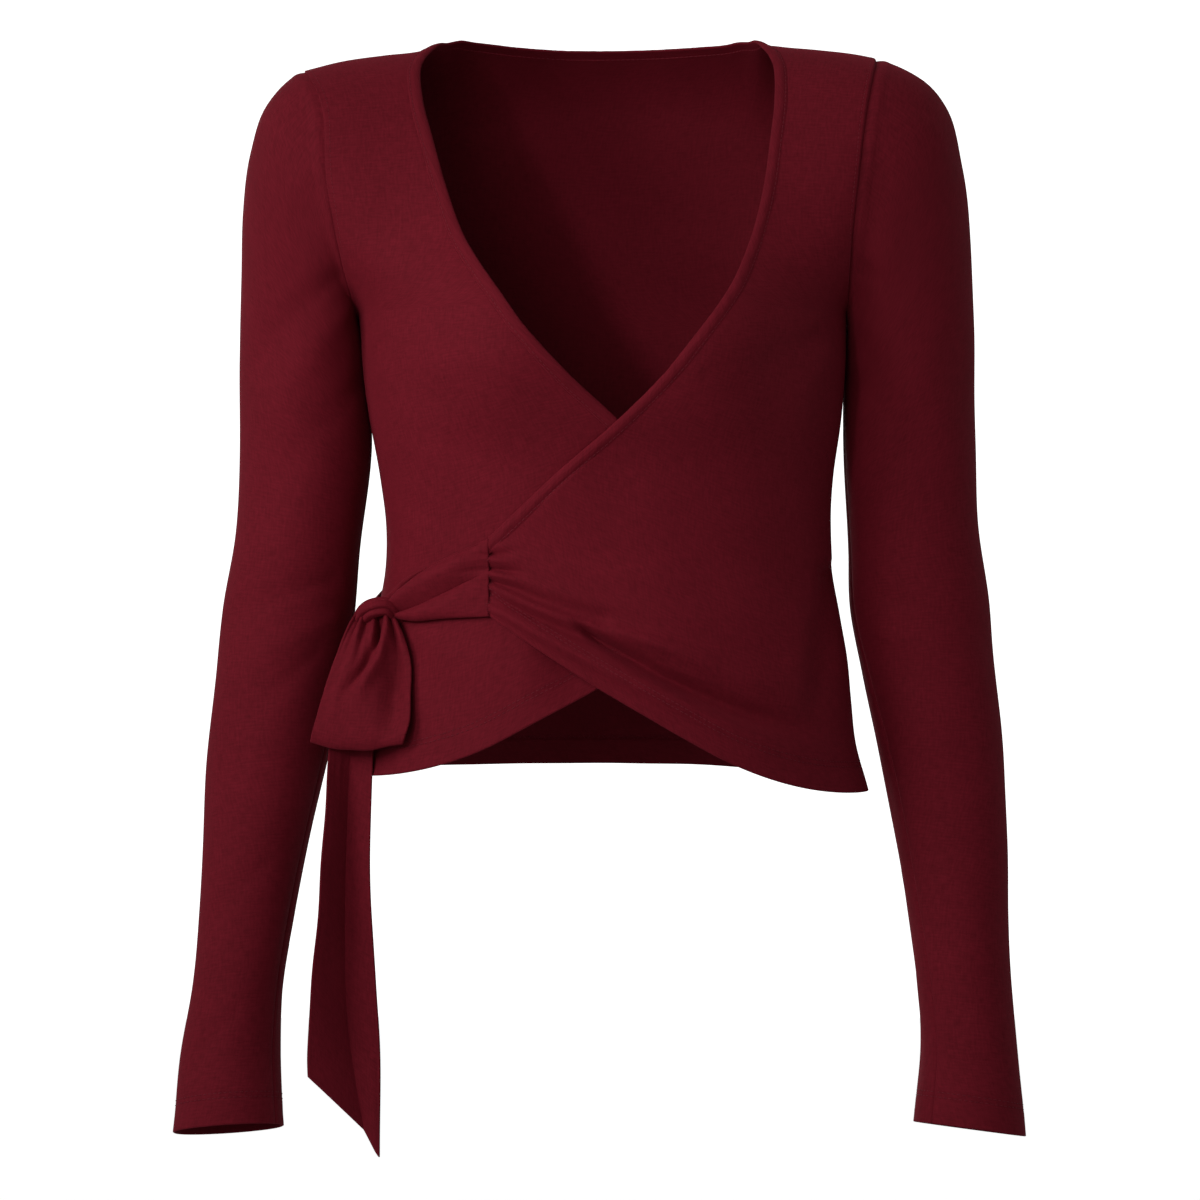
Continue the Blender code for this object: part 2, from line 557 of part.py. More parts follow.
def neck_and_body():
    """The three panels of the body, and the one folded strip sewn to all their neck edges."""
    opening, inward, outs = neck_opening(NECK_STEPS)
    sewn_edge = opening + inward * (BAND + SEAM)
    sewn_faces, sewn_x, sewn_levels = onto_body(sewn_edge)
    steps, half = np.arange(NECK_STEPS), NECK_STEPS // 2
    back_steps = steps[sewn_faces == BACK]
    over_steps, under_steps = steps[: back_steps[0] + 1], steps[back_steps[-1] :]
    over_rows = front_rows(1, sewn_x[over_steps], sewn_levels[over_steps], TIE_SEAM_OVER)
    under_rows = front_rows(-1, sewn_x[under_steps], sewn_levels[under_steps], TIE_SEAM_UNDER)
    neck_over, neck_under = over_rows[TIE_SEAM_ROWS:], under_rows[TIE_SEAM_ROWS:]
    at_over = np.interp(neck_over, sewn_levels[over_steps], over_steps)
    at_under = np.interp(neck_under, sewn_levels[under_steps][::-1], under_steps[::-1])
    at_over[-1] = np.interp(TOP_DEPTH, sewn_edge[:half, 1], steps[:half])  # at the shoulder seams
    at_under[-1] = np.interp(TOP_DEPTH, sewn_edge[:half:-1, 1], steps[:half:-1])
    at_back = np.linspace(at_over[-1], at_under[-1], NECK_COLUMNS + 1)

    over_x = np.concatenate([np.full(TIE_SEAM_ROWS, TIE_SEAM_OVER), np.interp(at_over, steps, sewn_x)])
    under_x = np.concatenate([np.full(TIE_SEAM_ROWS, TIE_SEAM_UNDER), np.interp(at_under, steps, sewn_x)])
    front("front_left", 1, HEM_LEFT, over_rows, over_x, over_out)
    front("front_right", -1, HEM_RIGHT, under_rows, under_x, under_out)
    back_levels = np.interp(at_back, steps, sewn_levels)
    back_levels[[0, -1]] = 0.0
    back_panel(np.interp(at_back, steps, sewn_x), back_levels)

    sewn = np.concatenate([at_over, at_back[1:-1], at_under[::-1]])
    free = squared_off(sewn, opening[:, 0])
    outer_edge = lay(*onto_body(opening + inward * BAND), outs)
    cloth("neckband", np.stack([pick(opening, free), pick(outer_edge, sewn)]), DOUBLE)


def squared_off(steps, x):
    """Steps along the opening edge, moved at both ends so that the band ends in line with its seams."""
    first = np.argmax(x[: len(x) // 2] > TIE_SEAM_OVER)
    last = len(x) - 1 - np.argmax(x[: len(x) // 2 : -1] < TIE_SEAM_UNDER)
    near_first = np.clip(1 - (steps - steps[0]) / BAND_END, 0, 1)
    near_last = np.clip(1 - (steps[-1] - steps) / BAND_END, 0, 1)
    return steps + near_first * (first - steps[0]) + near_last * (last - steps[-1])


def build():
    neck_and_body()
    sleeve("sleeve_right", -1, SLEEVE_RIGHT)
    sleeve("sleeve_left", 1, SLEEVE_LEFT)
    front_tie()
    back_tie()
    bow_knot()
    bow_loop()
    bow_tail()


for old in list(bpy.data.objects):
    bpy.data.objects.remove(old)
TOP = bpy.data.collections.new("wrap_top")
bpy.context.scene.collection.children.link(TOP)
build()
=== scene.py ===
"""A long-sleeved wrap top in burgundy jersey, in fine detail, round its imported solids.

X runs to the wearer's left, Y to the back and Z up, with the origin between the shoulders. Tables and
lengths are in millimetres, and MM turns them into metres.
"""

from collections import namedtuple
from functools import partial
from math import pi, radians

import bpy
import numpy as np
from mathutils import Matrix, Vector


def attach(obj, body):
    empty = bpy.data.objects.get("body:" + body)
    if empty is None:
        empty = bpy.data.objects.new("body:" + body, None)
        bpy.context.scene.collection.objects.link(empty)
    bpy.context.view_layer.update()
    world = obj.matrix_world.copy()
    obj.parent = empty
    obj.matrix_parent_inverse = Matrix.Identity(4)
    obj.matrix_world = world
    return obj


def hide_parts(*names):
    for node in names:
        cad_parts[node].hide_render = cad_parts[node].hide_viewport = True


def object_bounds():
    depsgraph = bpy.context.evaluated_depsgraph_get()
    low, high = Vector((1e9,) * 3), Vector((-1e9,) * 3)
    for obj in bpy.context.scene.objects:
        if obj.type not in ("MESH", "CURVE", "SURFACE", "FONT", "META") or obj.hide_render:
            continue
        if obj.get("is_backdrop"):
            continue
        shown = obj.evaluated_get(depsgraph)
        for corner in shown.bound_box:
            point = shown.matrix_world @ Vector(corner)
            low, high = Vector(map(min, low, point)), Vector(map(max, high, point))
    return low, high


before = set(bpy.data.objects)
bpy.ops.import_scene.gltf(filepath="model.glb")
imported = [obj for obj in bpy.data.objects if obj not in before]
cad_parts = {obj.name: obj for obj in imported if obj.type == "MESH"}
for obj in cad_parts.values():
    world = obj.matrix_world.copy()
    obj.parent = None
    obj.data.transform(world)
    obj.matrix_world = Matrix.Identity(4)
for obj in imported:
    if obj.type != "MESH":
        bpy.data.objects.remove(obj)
CAD_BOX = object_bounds()
MM = 0.001

# ------------------------------------------------------------------------------------------ back panel
# The back is one piece of fine jersey, cut with straight shoulder seams and a shallow neck. It is sewn
# to both fronts at the shoulders and sides, and its left side seam has a slit that the tie comes
# through. The hem is folded up inside and held by a twin-needle stitch.

FRONT, BACK = -1, 1  # a face of the body, and the sign of its depth
SEAM_GAP = 0.06  # between two panels where they are sewn together
ARMPIT = -158.0  # level of both armpits
TOP_DEPTH = 5.0  # how far behind the origin the shoulder seams run
ARMHOLE = 58.0  # half the depth of an armhole
SQUARE = 2.4  # how square the body is across: 2 is an ellipse
ROUNDING = {FRONT: 90.0, BACK: 45.0}  # length over which each face rounds into the shoulder
BACK_HEM, HEM_LEFT, HEM_RIGHT = -419.6, -431.0, -421.0  # the hem behind, and at the side seams


def table(columns, rows):
    """Rows whose values have names. A last value that a row leaves out is 0."""
    Row = namedtuple("Row", columns, defaults=(0,))
    return [Row(*row) for row in rows]


# A level is a height on the side seams and armholes. Above the armpits each level bows up towards
# the neck, and level 0 is the shoulder line, which runs on inside the neck.
BODY = table("level right left front back", [
    (-431, -146, 154.5, -107, 108), (-405, -138, 147.5, -104, 101), (-380, -135.5, 145, -102, 95),
    (-355, -133, 142.5, -100, 88), (-329, -128.5, 138.5, -98, 82), (-303, -124, 134, -96, 79),
    (-278, -123.5, 133, -98, 80), (-250, -127, 134.5, -102, 83), (-214, -133.4, 139.2, -114, 89),
    (-185, -137, 141, -121, 94), (-158, -139.5, 141.5, -117, 98), (-133, -145.5, 141.5, -104, 99),
    (-85, -154, 145.5, -76, 95), (-24, -160.5, 154, -53, 76), (0, -171, 159.5, -46, 66),
])
SHOULDER_LINE = table("across height", [
    (-171, -14.5), (-150, -9), (-125, -5.2), (-105, -2.8), (-96, -0.6), (-86, 5.5), (-50, 20), (0, 27),
    (50, 20), (84, 6.5), (94, 0.8), (104, -0.8), (125, -2.8), (150, -6), (159.5, -8),
])


def smooth(keys, values, at):
    """Reads values, each given at its key, at places on a smooth curve through them."""
    slopes = np.gradient(values, keys, axis=0)
    i = np.clip(np.searchsorted(keys, at, side="right") - 1, 0, len(keys) - 2)
    shape = at.shape + (1,) * (values.ndim - 1)
    span = (keys[i + 1] - keys[i]).reshape(shape)
    t = (at - keys[i]).reshape(shape) / span
    start = (1 + 2 * t) * (1 - t) ** 2 * values[i] + t * (1 - t) ** 2 * span * slopes[i]
    return start + t * t * (3 - 2 * t) * values[i + 1] + t * t * (t - 1) * span * slopes[i + 1]


def along(rows, key, value, at):
    """Reads one column of a table at the given keys."""
    keys, values = (np.array([getattr(row, name) for row in rows], float) for name in (key, value))
    return smooth(keys, values, np.clip(at, keys[0], keys[-1]))


def ease(t):
    t = np.clip(t, 0.0, 1.0)
    return t * t * (3 - 2 * t)


def bell(away, width):
    """A smooth hump, 1 in its middle and 0.37 at its width away from there."""
    return np.exp(-((away / width) ** 2))


def unit(vectors):
    return vectors / np.maximum(np.linalg.norm(vectors, axis=-1, keepdims=True), 1e-9)


def between(first, last, t):
    return first + (last - first) * t


def height_of(x, level):
    share = np.clip(1.0 - level / ARMPIT, 0.0, None)
    return level + along(SHOULDER_LINE, "across", "height", x) * share**2


def half_width(x, level):
    """From the middle to the side seam or armhole, on the side that x is on."""
    return np.where(x >= 0, along(BODY, "level", "left", level), -along(BODY, "level", "right", level))


def armhole_depth(share):
    """How far the armhole lies from the shoulder seam's plane, 0 at the armpit and shoulder point."""
    return ARMHOLE * (2 * np.sqrt(np.clip(share * (1 - share), 0, None))) ** 0.9


def depth_of(face, x, level):
    """The depth of the body form on one face, at places across it."""
    share = np.clip(1.0 - level / ARMPIT, 0.0, 1.0)
    across = np.clip(np.abs(x) / half_width(x, level), 0.0, 1.0)
    reach = (1.0 - across) / (0.9 * share**0.6 + 0.01)
    edge = TOP_DEPTH * share**2 + face * (SEAM_GAP / 2 + armhole_depth(share) / (1.0 + reach**2))
    top = TOP_DEPTH + face * SEAM_GAP / 2
    deepest = along(BODY, "level", "front" if face == FRONT else "back", level)
    rounded = np.clip(1.0 + level / ROUNDING[face], 0.0, 1.0)
    middle = top + (deepest - top) * np.sqrt(1.0 - rounded**2)
    plane = TOP_DEPTH * share**2
    profile = np.abs(middle - plane) * (1.0 - across**SQUARE) ** 0.5
    low_edge = plane + face * (SEAM_GAP / 2 + (profile**4 + armhole_depth(share) ** 4) ** 0.25)
    arch = (1.0 - across**SQUARE) ** (0.5 + 0.4 * ease(share / 0.35))
    bust = 0.0
    if face == FRONT:
        bust = -8.0 * bell(np.abs(x - 3) - 66, 34) * bell(level + 186, 40)
    high_edge = edge + (middle - edge) * arch
    return between(low_edge, high_edge, ease((share - 0.02) / 0.25)) + bust * arch


def turn_to_x(turn, level):
    """The place across for an angle in degrees, 90 at the left side and -90 at the right side."""
    return half_width(turn, level) * np.sin(np.radians(turn))


def x_to_turn(x, level):
    return np.degrees(np.arcsin(np.clip(x / half_width(x, level), -1.0, 1.0)))


def on_form(face, turn, level):
    x = turn_to_x(turn, level)
    return np.stack([x, depth_of(face, x, level), height_of(x, level)], axis=-1)


def on_body(face, turn, level, out=0.0):
    """Points on one face of the body, moved out along its normal, and the normals."""
    turn, level = np.broadcast_arrays(np.asarray(turn, float), np.asarray(level, float))
    step = 0.4
    turn_in = np.clip(turn, -90 + step, 90 - step)
    level_in = np.clip(level, BODY[0].level + step, -step)
    across = on_form(face, turn_in + step, level_in) - on_form(face, turn_in - step, level_in)
    upward = on_form(face, turn_in, level_in + step) - on_form(face, turn_in, level_in - step)
    normal = unit(np.cross(across, upward)) * -face
    return on_form(face, turn, level) + normal * np.asarray(out, float)[..., None], normal


# The neck's opening edge. The over front lies outside at the wearer's right side, and shares the
# seams with the back at the left side, where the under front lies inside.
LAYERS = 2.2  # from the under front to the over front, middle to middle
BAND = 6.5  # width of the neckband
TUCK = 0.7  # how far a panel's neck edge goes in between the band's two layers
NECKLINE = table("level over under", [
    (-301, -75, 86), (-287, -61, 72), (-270, -43.5, 56), (-250, -23, 36), (-222, 9.5, 9.5),
    (-200, 32.4, -14.5), (-172, 55.5, -40.7), (-149, 71.5, -57), (-121, 84, -75), (-88, 92.7, -87.4),
    (-61, 96.8, -94.8), (-37, 99.8, -101), (-16, 100, -103.3), (-8, 97.4, -101), (-3, 93.8, -97),
    (0, 89.5, -92),
])
BACK_NECK = table("across level", [
    (86, -1.2), (80.5, -3), (72, -6.6), (50, -12.2), (25, -15.9), (0, -17), (-25, -15.9), (-50, -11.8),
    (-72, -5.6), (-81, -2.3), (-88, -0.9),
])


def grid_run(grid, axis=0):
    """How far each point of a line or grid is from its first one along an axis, on the cloth."""
    steps = np.linalg.norm(np.diff(grid, axis=axis), axis=-1)
    zero = np.zeros_like(np.take(steps, [0], axis=axis))
    return np.cumsum(np.concatenate([zero, steps], axis=axis), axis=axis)


def read(at, keys, vectors):
    """Vectors, each given at its key, read at places between them."""
    return np.stack([np.interp(at, keys, column) for column in vectors.T], axis=-1)


def spline(points, count):
    """Points evenly spaced on a smooth curve through the given points, and a unit tangent at each."""
    points = np.asarray(points, float)
    knots = np.concatenate([[0.0], np.cumsum(np.sqrt(np.linalg.norm(np.diff(points, axis=0), axis=1)))])
    curve = smooth(knots, points, np.linspace(0.0, knots[-1], 40 * len(points)))
    run = grid_run(curve)
    places = read(np.linspace(0.0, run[-1], count), run, curve)
    return places, unit(np.gradient(places, axis=0))


def over_out(x):
    return LAYERS * (1 - ease((x + 100) / 200))


def under_out(x):
    return -LAYERS * ease((x + 100) / 200)


def neck_opening(count):
    """The opening edge from the over front's tie round the nape to the under front's tie.

    Gives its points, which way the cloth lies from each, the outward normals and the layer's offset.
    """
    stations = [(FRONT, e.over, e.level, over_out(e.over)) for e in NECKLINE]
    stations += [(BACK, n.across, n.level, 0.0) for n in BACK_NECK]
    stations += [(FRONT, e.under, e.level, under_out(e.under)) for e in reversed(NECKLINE)]
    laid = [on_body(face, x_to_turn(x, level), level, out) for face, x, level, out in stations]
    points, tangents = spline([place for place, normal in laid], count)
    nearest = [np.argmin(np.linalg.norm(points - place, axis=1)) for place, normal in laid]
    normals = np.array([normal for place, normal in laid])
    steps = np.arange(count)
    facing = unit(read(steps, nearest, normals))
    outs = np.interp(steps, nearest, [out for face, x, level, out in stations])
    return points, unit(np.cross(tangents, facing)), outs


def onto_body(points):
    """The face, place across and level of the body point nearest to each point, at its own x."""
    faces = np.where(points[:, 1] < TOP_DEPTH, FRONT, BACK)
    levels = -(np.linspace(0, 1, 1400) ** 2) * 345
    found = []
    for face, point in zip(faces, points):
        x = np.full_like(levels, point[0])
        miss = (depth_of(face, x, levels) - point[1]) ** 2 + (height_of(x, levels) - point[2]) ** 2
        found.append(levels[np.argmin(miss)])
    return faces, points[:, 0], np.array(found)


NECK_STEPS = 700
opening, inward, neck_outs = neck_opening(NECK_STEPS)
sewn_edge = opening + inward * (BAND - TUCK)
sewn_faces, sewn_x, sewn_levels = onto_body(sewn_edge)
neck_steps, half = np.arange(NECK_STEPS), NECK_STEPS // 2
back_steps = neck_steps[sewn_faces == BACK]
over_steps, under_steps = neck_steps[: back_steps[0] + 1], neck_steps[back_steps[-1] :]
corner_over = np.interp(TOP_DEPTH, sewn_edge[:half, 1], neck_steps[:half])
corner_under = np.interp(TOP_DEPTH, sewn_edge[:half:-1, 1], neck_steps[:half:-1])

# Creases, each a soft trough or ridge between two places on the cloth. Bow bends it aside, and skew
# makes its upper side wider than its lower one.
CREASE = "u1 v1 u2 v2 bow rise width1 width2 skew"


def creased(rows, u, v, fade_in=0.12, fade_out=0.45):
    """How far all the creases of a table lift the cloth at the given places."""
    total = np.zeros(np.broadcast(u, v).shape)
    for c in rows:
        run = np.hypot(c.u2 - c.u1, c.v2 - c.v1)
        along_u, along_v = (c.u2 - c.u1) / run, (c.v2 - c.v1) / run
        t = ((u - c.u1) * along_u + (v - c.v1) * along_v) / run
        aside = (v - c.v1) * along_u - (u - c.u1) * along_v + c.bow * 4 * t * (1 - t)
        width = between(c.width1, c.width2, np.clip(t, 0, 1))
        width = width * np.where(aside * np.sign(along_u + 1e-6) > 0, 1 + c.skew, 1 - c.skew)
        fade = ease((1 + fade_out / 2 - t) / fade_out) * ease((t + fade_in) / fade_in)
        total = total + c.rise * fade * bell(aside, width)
    return total


def uneven(u, v, size, seed):
    """The slow unevenness of hanging cloth, about one unit high."""
    draw = np.random.default_rng(seed)
    total = np.zeros(np.broadcast(u, v).shape)
    waves = 7
    for _ in range(waves):
        angle, length, shift = draw.uniform(0, pi), size * draw.uniform(0.6, 1.6), draw.uniform(0, 2 * pi)
        total = total + np.sin((u * np.cos(angle) + v * np.sin(angle)) * 2 * pi / length + shift)
    return total / np.sqrt(waves)


WALL = 0.8  # one layer of jersey
HEM = 15.0  # depth of the folded hem
TWIN = 2.8  # between the two rows of a twin-needle stitch
GROOVE = 0.9  # half the width of the groove that a row of stitches draws in


def grid_normals(grid, outward):
    normals = unit(np.cross(np.gradient(grid, axis=0), np.gradient(grid, axis=1)))
    return normals * np.sign((normals * outward).sum())


def shell(name, grid, outward, wall=WALL, relief=0.0, extra=0.0):
    """A sheet of cloth on a grid of points: two faces joined by a rounded edge.

    Relief lifts the right side of the cloth, and extra thickens it on the wrong side.
    """
    rows, columns = grid.shape[:2]
    normals = grid_normals(grid, outward)
    lift, sink = (np.broadcast_to(wall / 2 + more, (rows, columns))[..., None] for more in (relief, extra))
    right, wrong = (grid + normals * lift).reshape(-1, 3), (grid - normals * sink).reshape(-1, 3)
    index = np.arange(rows * columns).reshape(rows, columns)
    rim = np.concatenate([index[0, :-1], index[:-1, -1], index[-1, :0:-1], index[:0:-1, 0]])
    middle = (right[rim] + wrong[rim]) / 2
    ahead = np.roll(middle, -1, axis=0) - np.roll(middle, 1, axis=0)
    away = unit(np.cross(ahead, normals.reshape(-1, 3)[rim]))
    first = grid[0, columns // 2] - grid[1, columns // 2]
    away = away * np.sign(away[columns // 2] @ first)
    edge = middle + away * wall * 0.4
    points = np.concatenate([right, wrong, edge])
    count = rows * columns
    a, b, c, d = index[:-1, :-1], index[:-1, 1:], index[1:, 1:], index[1:, :-1]
    quads = np.stack([a, b, c, d], axis=-1).reshape(-1, 4)
    face = np.cross(points[quads[:, 1]] - points[quads[:, 0]], points[quads[:, 3]] - points[quads[:, 0]])
    way = -1 if (face * normals.reshape(-1, 3)[quads[:, 0]]).sum() < 0 else 1
    quads = quads[:, ::way]
    after = np.roll(np.arange(len(rim)), -1)
    at_edge = 2 * count + np.arange(len(rim))
    upper = np.stack([rim, rim[after], at_edge[after], at_edge], axis=-1)[:, ::-way]
    lower = np.stack([at_edge, at_edge[after], rim[after] + count, rim + count], axis=-1)[:, ::-way]
    faces = np.concatenate([quads, quads[:, ::-1] + count, upper, lower])
    piece = mesh_piece(name, points, faces, (JERSEY, JERSEY_WRONG_SIDE_PAINTED_SHADE))
    u, v = grid_run(grid, 1), np.broadcast_to(grid_run(grid).mean(axis=1)[:, None], (rows, columns))
    flat = np.stack([u, v], axis=-1).reshape(-1, 2) * MM
    corners = np.zeros(len(piece.data.loops), np.int32)
    piece.data.loops.foreach_get("vertex_index", corners)
    flat = np.concatenate([flat, flat, flat[rim]])[corners]
    piece.data.uv_layers.new(name="cloth").data.foreach_set("uv", flat.ravel())
    wrong_side = np.zeros(len(faces), np.int32)
    wrong_side[len(quads) : 2 * len(quads)] = 1
    piece.data.polygons.foreach_set("material_index", wrong_side)
    return piece


def add_object(name, data):
    made = bpy.data.objects.new(name, data)
    bpy.context.scene.collection.objects.link(made)
    return made


def mesh_piece(name, points, faces, materials):
    mesh = bpy.data.meshes.new(name)
    mesh.from_pydata((points * MM).tolist(), [], faces.tolist())
    for each in materials:
        mesh.materials.append(each)
    mesh.shade_smooth()
    return add_object(name, mesh)


def line_at(grid, normals, distance):
    """The line on the cloth at a distance from the grid's first row, and the normals on it."""
    run, both = grid_run(grid), np.concatenate([grid, normals], axis=-1)
    line = np.array([read(distance, run[:, j], both[:, j]) for j in range(grid.shape[1])])
    return line[:, :3], unit(line[:, 3:])


def tube_faces(rings, around):
    """The faces of a tube, from each ring of points to the next."""
    index = np.arange(rings * around).reshape(rings, around)
    beside = np.roll(index, -1, axis=1)
    return np.stack([index[:-1], beside[:-1], beside[1:], index[1:]], axis=-1).reshape(-1, 4)


STITCH, STITCH_GAP, THREAD = 2.0, 1.0, 0.19  # a stitch's length, the gap after it, and its radius
THREAD_SIDES = 5


def stitches(name, lines, lift=0.42, swing=0.0, length=STITCH, gap=STITCH_GAP, radius=THREAD):
    """Stitches along lines on the cloth, joined as one mesh. Each thread bows up and sinks in at its ends."""
    stages, angles = np.array([0.0, 0.22, 0.78, 1.0]), 2 * pi * np.arange(THREAD_SIDES) / THREAD_SIDES
    rise, girth = np.array([-0.6, 0.25, 0.25, -0.6]), np.array([0.55, 1.0, 1.0, 0.55])
    points = []
    for line, normals in lines:
        run, aside = grid_run(line), unit(np.cross(normals, unit(np.gradient(line, axis=0))))
        for number, start in enumerate(np.arange(gap, run[-1] - length, length + gap)):
            up, side = read(start, run, normals), read(start, run, aside)
            at = read(start + stages * length, run, line) + up * (lift + rise[:, None] * radius)
            at = at + side * swing * (1 - 2 * stages[:, None]) * (1 - 2 * (number % 2))
            round_it = np.cos(angles)[:, None] * up + np.sin(angles)[:, None] * side
            points.append((at[:, None] + round_it[None] * (girth * radius)[:, None, None]).reshape(-1, 3))
    one = tube_faces(len(stages), THREAD_SIDES)
    faces = np.concatenate([one + len(points[0]) * number for number in range(len(points))])
    piece = mesh_piece(name, np.concatenate(points), faces, [THREAD_MATERIAL])
    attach(piece, "root")
    return piece


def hemmed(name, grid, outward, sewn, sunk=0.16):
    """A panel with a hem folded up inside along its first row, under two rows of stitches.

    Gives the panel, its normals and the stitches.
    """
    run = grid_run(grid)
    relief = -sunk * bell(run - HEM, GROOVE) - 0.1 * bell(run - HEM - TWIN, GROOVE)
    piece = shell(name, grid, outward, relief=relief, extra=0.5 * ease((HEM + 1 - run) / 1.2))
    normals = grid_normals(grid, outward)
    rows = [line_at(grid, normals, distance) for distance in (HEM, HEM + TWIN)]
    return piece, normals, stitches(sewn, rows)


def sew(piece, node):
    """Puts a finished piece of cloth in place of its plain solid."""
    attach(piece, "root")
    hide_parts(node)


def with_settings(made, **settings):
    for key, value in settings.items():
        setattr(made, key, value)
    return made


def node(tree, kind, **settings):
    return with_settings(tree.nodes.new(kind), **settings)


def math(tree, operation, first, second=None):
    made = node(tree, "ShaderNodeMath", operation=operation)
    for socket, value in zip(made.inputs, (first, second)):
        if isinstance(value, bpy.types.NodeSocket):
            tree.links.new(value, socket)
        elif value is not None:
            socket.default_value = value
    return made.outputs[0]


def knit_group():
    """Fine jersey: columns of small V loops on its right side and rows of bumps on the wrong side,
    with the slight streaks and clouds that a dyed yarn gives."""
    tree = bpy.data.node_groups.new("fine knit", "ShaderNodeTree")
    do = partial(math, tree)
    for label, value in (
        ("Columns per metre", 1400.0), ("Rows per metre", 1900.0), ("Right side", 1.0), ("Streaks", 0.9),
        ("Clouds", 0.35),
    ):
        socket = tree.interface.new_socket(label, in_out="INPUT", socket_type="NodeSocketFloat")
        socket.default_value = value
    for label in ("Height", "Shade"):
        tree.interface.new_socket(label, in_out="OUTPUT", socket_type="NodeSocketFloat")
    given, put_out = node(tree, "NodeGroupInput"), node(tree, "NodeGroupOutput")
    place = node(tree, "ShaderNodeUVMap", uv_map="cloth").outputs[0]
    apart = node(tree, "ShaderNodeSeparateXYZ")
    tree.links.new(place, apart.inputs[0])
    column = do("MULTIPLY", apart.outputs[0], given.outputs["Columns per metre"])
    row = do("MULTIPLY", apart.outputs[1], given.outputs["Rows per metre"])
    from_middle = do("ABSOLUTE", do("SUBTRACT", do("FRACT", column), 0.5))
    arms = do("SINE", do("MULTIPLY", do("ADD", row, from_middle), 2 * pi))
    rib = do("COSINE", do("MULTIPLY", from_middle, 2 * pi))
    loops = do("ADD", do("MULTIPLY", arms, 0.35), do("MULTIPLY", rib, 0.45))
    bumps = do("MULTIPLY", do("SINE", do("MULTIPLY", row, 2 * pi)), 0.6)
    chosen = node(tree, "ShaderNodeMix", data_type="FLOAT")
    tree.links.new(given.outputs["Right side"], chosen.inputs[0])
    tree.links.new(bumps, chosen.inputs[2])
    tree.links.new(loops, chosen.inputs[3])
    tree.links.new(chosen.outputs[0], put_out.inputs["Height"])

    def noise(across, upward, detail):
        scaled = node(tree, "ShaderNodeVectorMath", operation="MULTIPLY")
        tree.links.new(place, scaled.inputs[0])
        scaled.inputs[1].default_value = (across, upward, 1.0)
        made = node(tree, "ShaderNodeTexNoise")
        tree.links.new(scaled.outputs[0], made.inputs["Vector"])
        made.inputs["Scale"].default_value = 1.0
        made.inputs["Detail"].default_value = detail
        return do("SUBTRACT", made.outputs[0], 0.5)

    streaks = do("ADD", noise(750, 160, 3.0), noise(150, 900, 3.0))
    clouds = noise(28, 28, 2.0)
    shade = do("MULTIPLY", streaks, given.outputs["Streaks"])
    shade = do("ADD", shade, do("MULTIPLY", clouds, given.outputs["Clouds"]))
    # Painted shade: the colour darkens where the knit's loops or bumps lie low and lightens on their tops.
    shade = do("ADD", shade, do("MULTIPLY", chosen.outputs[0], 0.12))
    tree.links.new(do("ADD", shade, 0.5), put_out.inputs["Shade"])
    return tree


KNIT = knit_group()


def material(name, values):
    """A new material, with the values that are the same all over it."""
    made = bpy.data.materials.new(name)
    made.use_nodes = True
    for socket, value in values.items():
        made.node_tree.nodes["Principled BSDF"].inputs[socket].default_value = value
    return made


def dye(tree, shade, dark, light):
    """Colours a material from dark to light by a shade that changes over it."""
    ramp = node(tree, "ShaderNodeValToRGB")
    for element, colour in zip(ramp.color_ramp.elements, (dark, light)):
        element.color = (*colour, 1.0)
    tree.links.new(shade, ramp.inputs[0])
    tree.links.new(ramp.outputs[0], tree.nodes["Principled BSDF"].inputs["Base Color"])


def jersey(name, dark, light, right_side):
    """The dyed jersey: matt, with the soft bloom of its fibres at grazing angles."""
    made = material(name, {
        "Roughness": 0.8, "Specular IOR Level": 0.08, "Sheen Weight": 0.15, "Sheen Roughness": 0.45,
        "Sheen Tint": (1.0, 0.08, 0.14, 1.0),
    })
    tree = made.node_tree
    knit = node(tree, "ShaderNodeGroup", node_tree=KNIT)
    knit.inputs["Right side"].default_value = right_side
    dye(tree, knit.outputs["Shade"], dark, light)
    bump = node(tree, "ShaderNodeBump")
    bump.inputs["Strength"].default_value = 0.35
    bump.inputs["Distance"].default_value = 0.15 * MM
    tree.links.new(knit.outputs["Height"], bump.inputs["Height"])
    tree.links.new(bump.outputs[0], tree.nodes["Principled BSDF"].inputs["Normal"])
    return made


def thread():
    made = material("thread", {"Roughness": 0.6, "Specular IOR Level": 0.15})
    twist = node(made.node_tree, "ShaderNodeTexNoise")
    twist.inputs["Scale"].default_value = 900.0
    dye(made.node_tree, twist.outputs[0], (0.110, 0.0070, 0.014), (0.200, 0.0160, 0.028))
    return made


JERSEY = jersey("burgundy jersey", (0.086, 0.0034, 0.0078), (0.172, 0.0082, 0.0178), 1.0)
# The wrong side has its own knit of bumps. Its colours are painted darker than the right side's, as painted
# shade for the inside of the top.
JERSEY_WRONG_SIDE_PAINTED_SHADE = jersey("burgundy jersey, wrong side in painted shade", (0.084, 0.0030, 0.0074), (0.150, 0.0066, 0.0148), 0.0)
THREAD_MATERIAL = thread()

BACK_ROWS_LOW, BACK_ROWS_HIGH = 100, 80
BACK_SHOULDER, BACK_NECK_COLUMNS = 46, 100
SLIT = (-327.0, -301.0)  # the opening in the left side seam, for the tie
SLIT_DEPTH = 6.5  # degrees round the body that the back gives way there

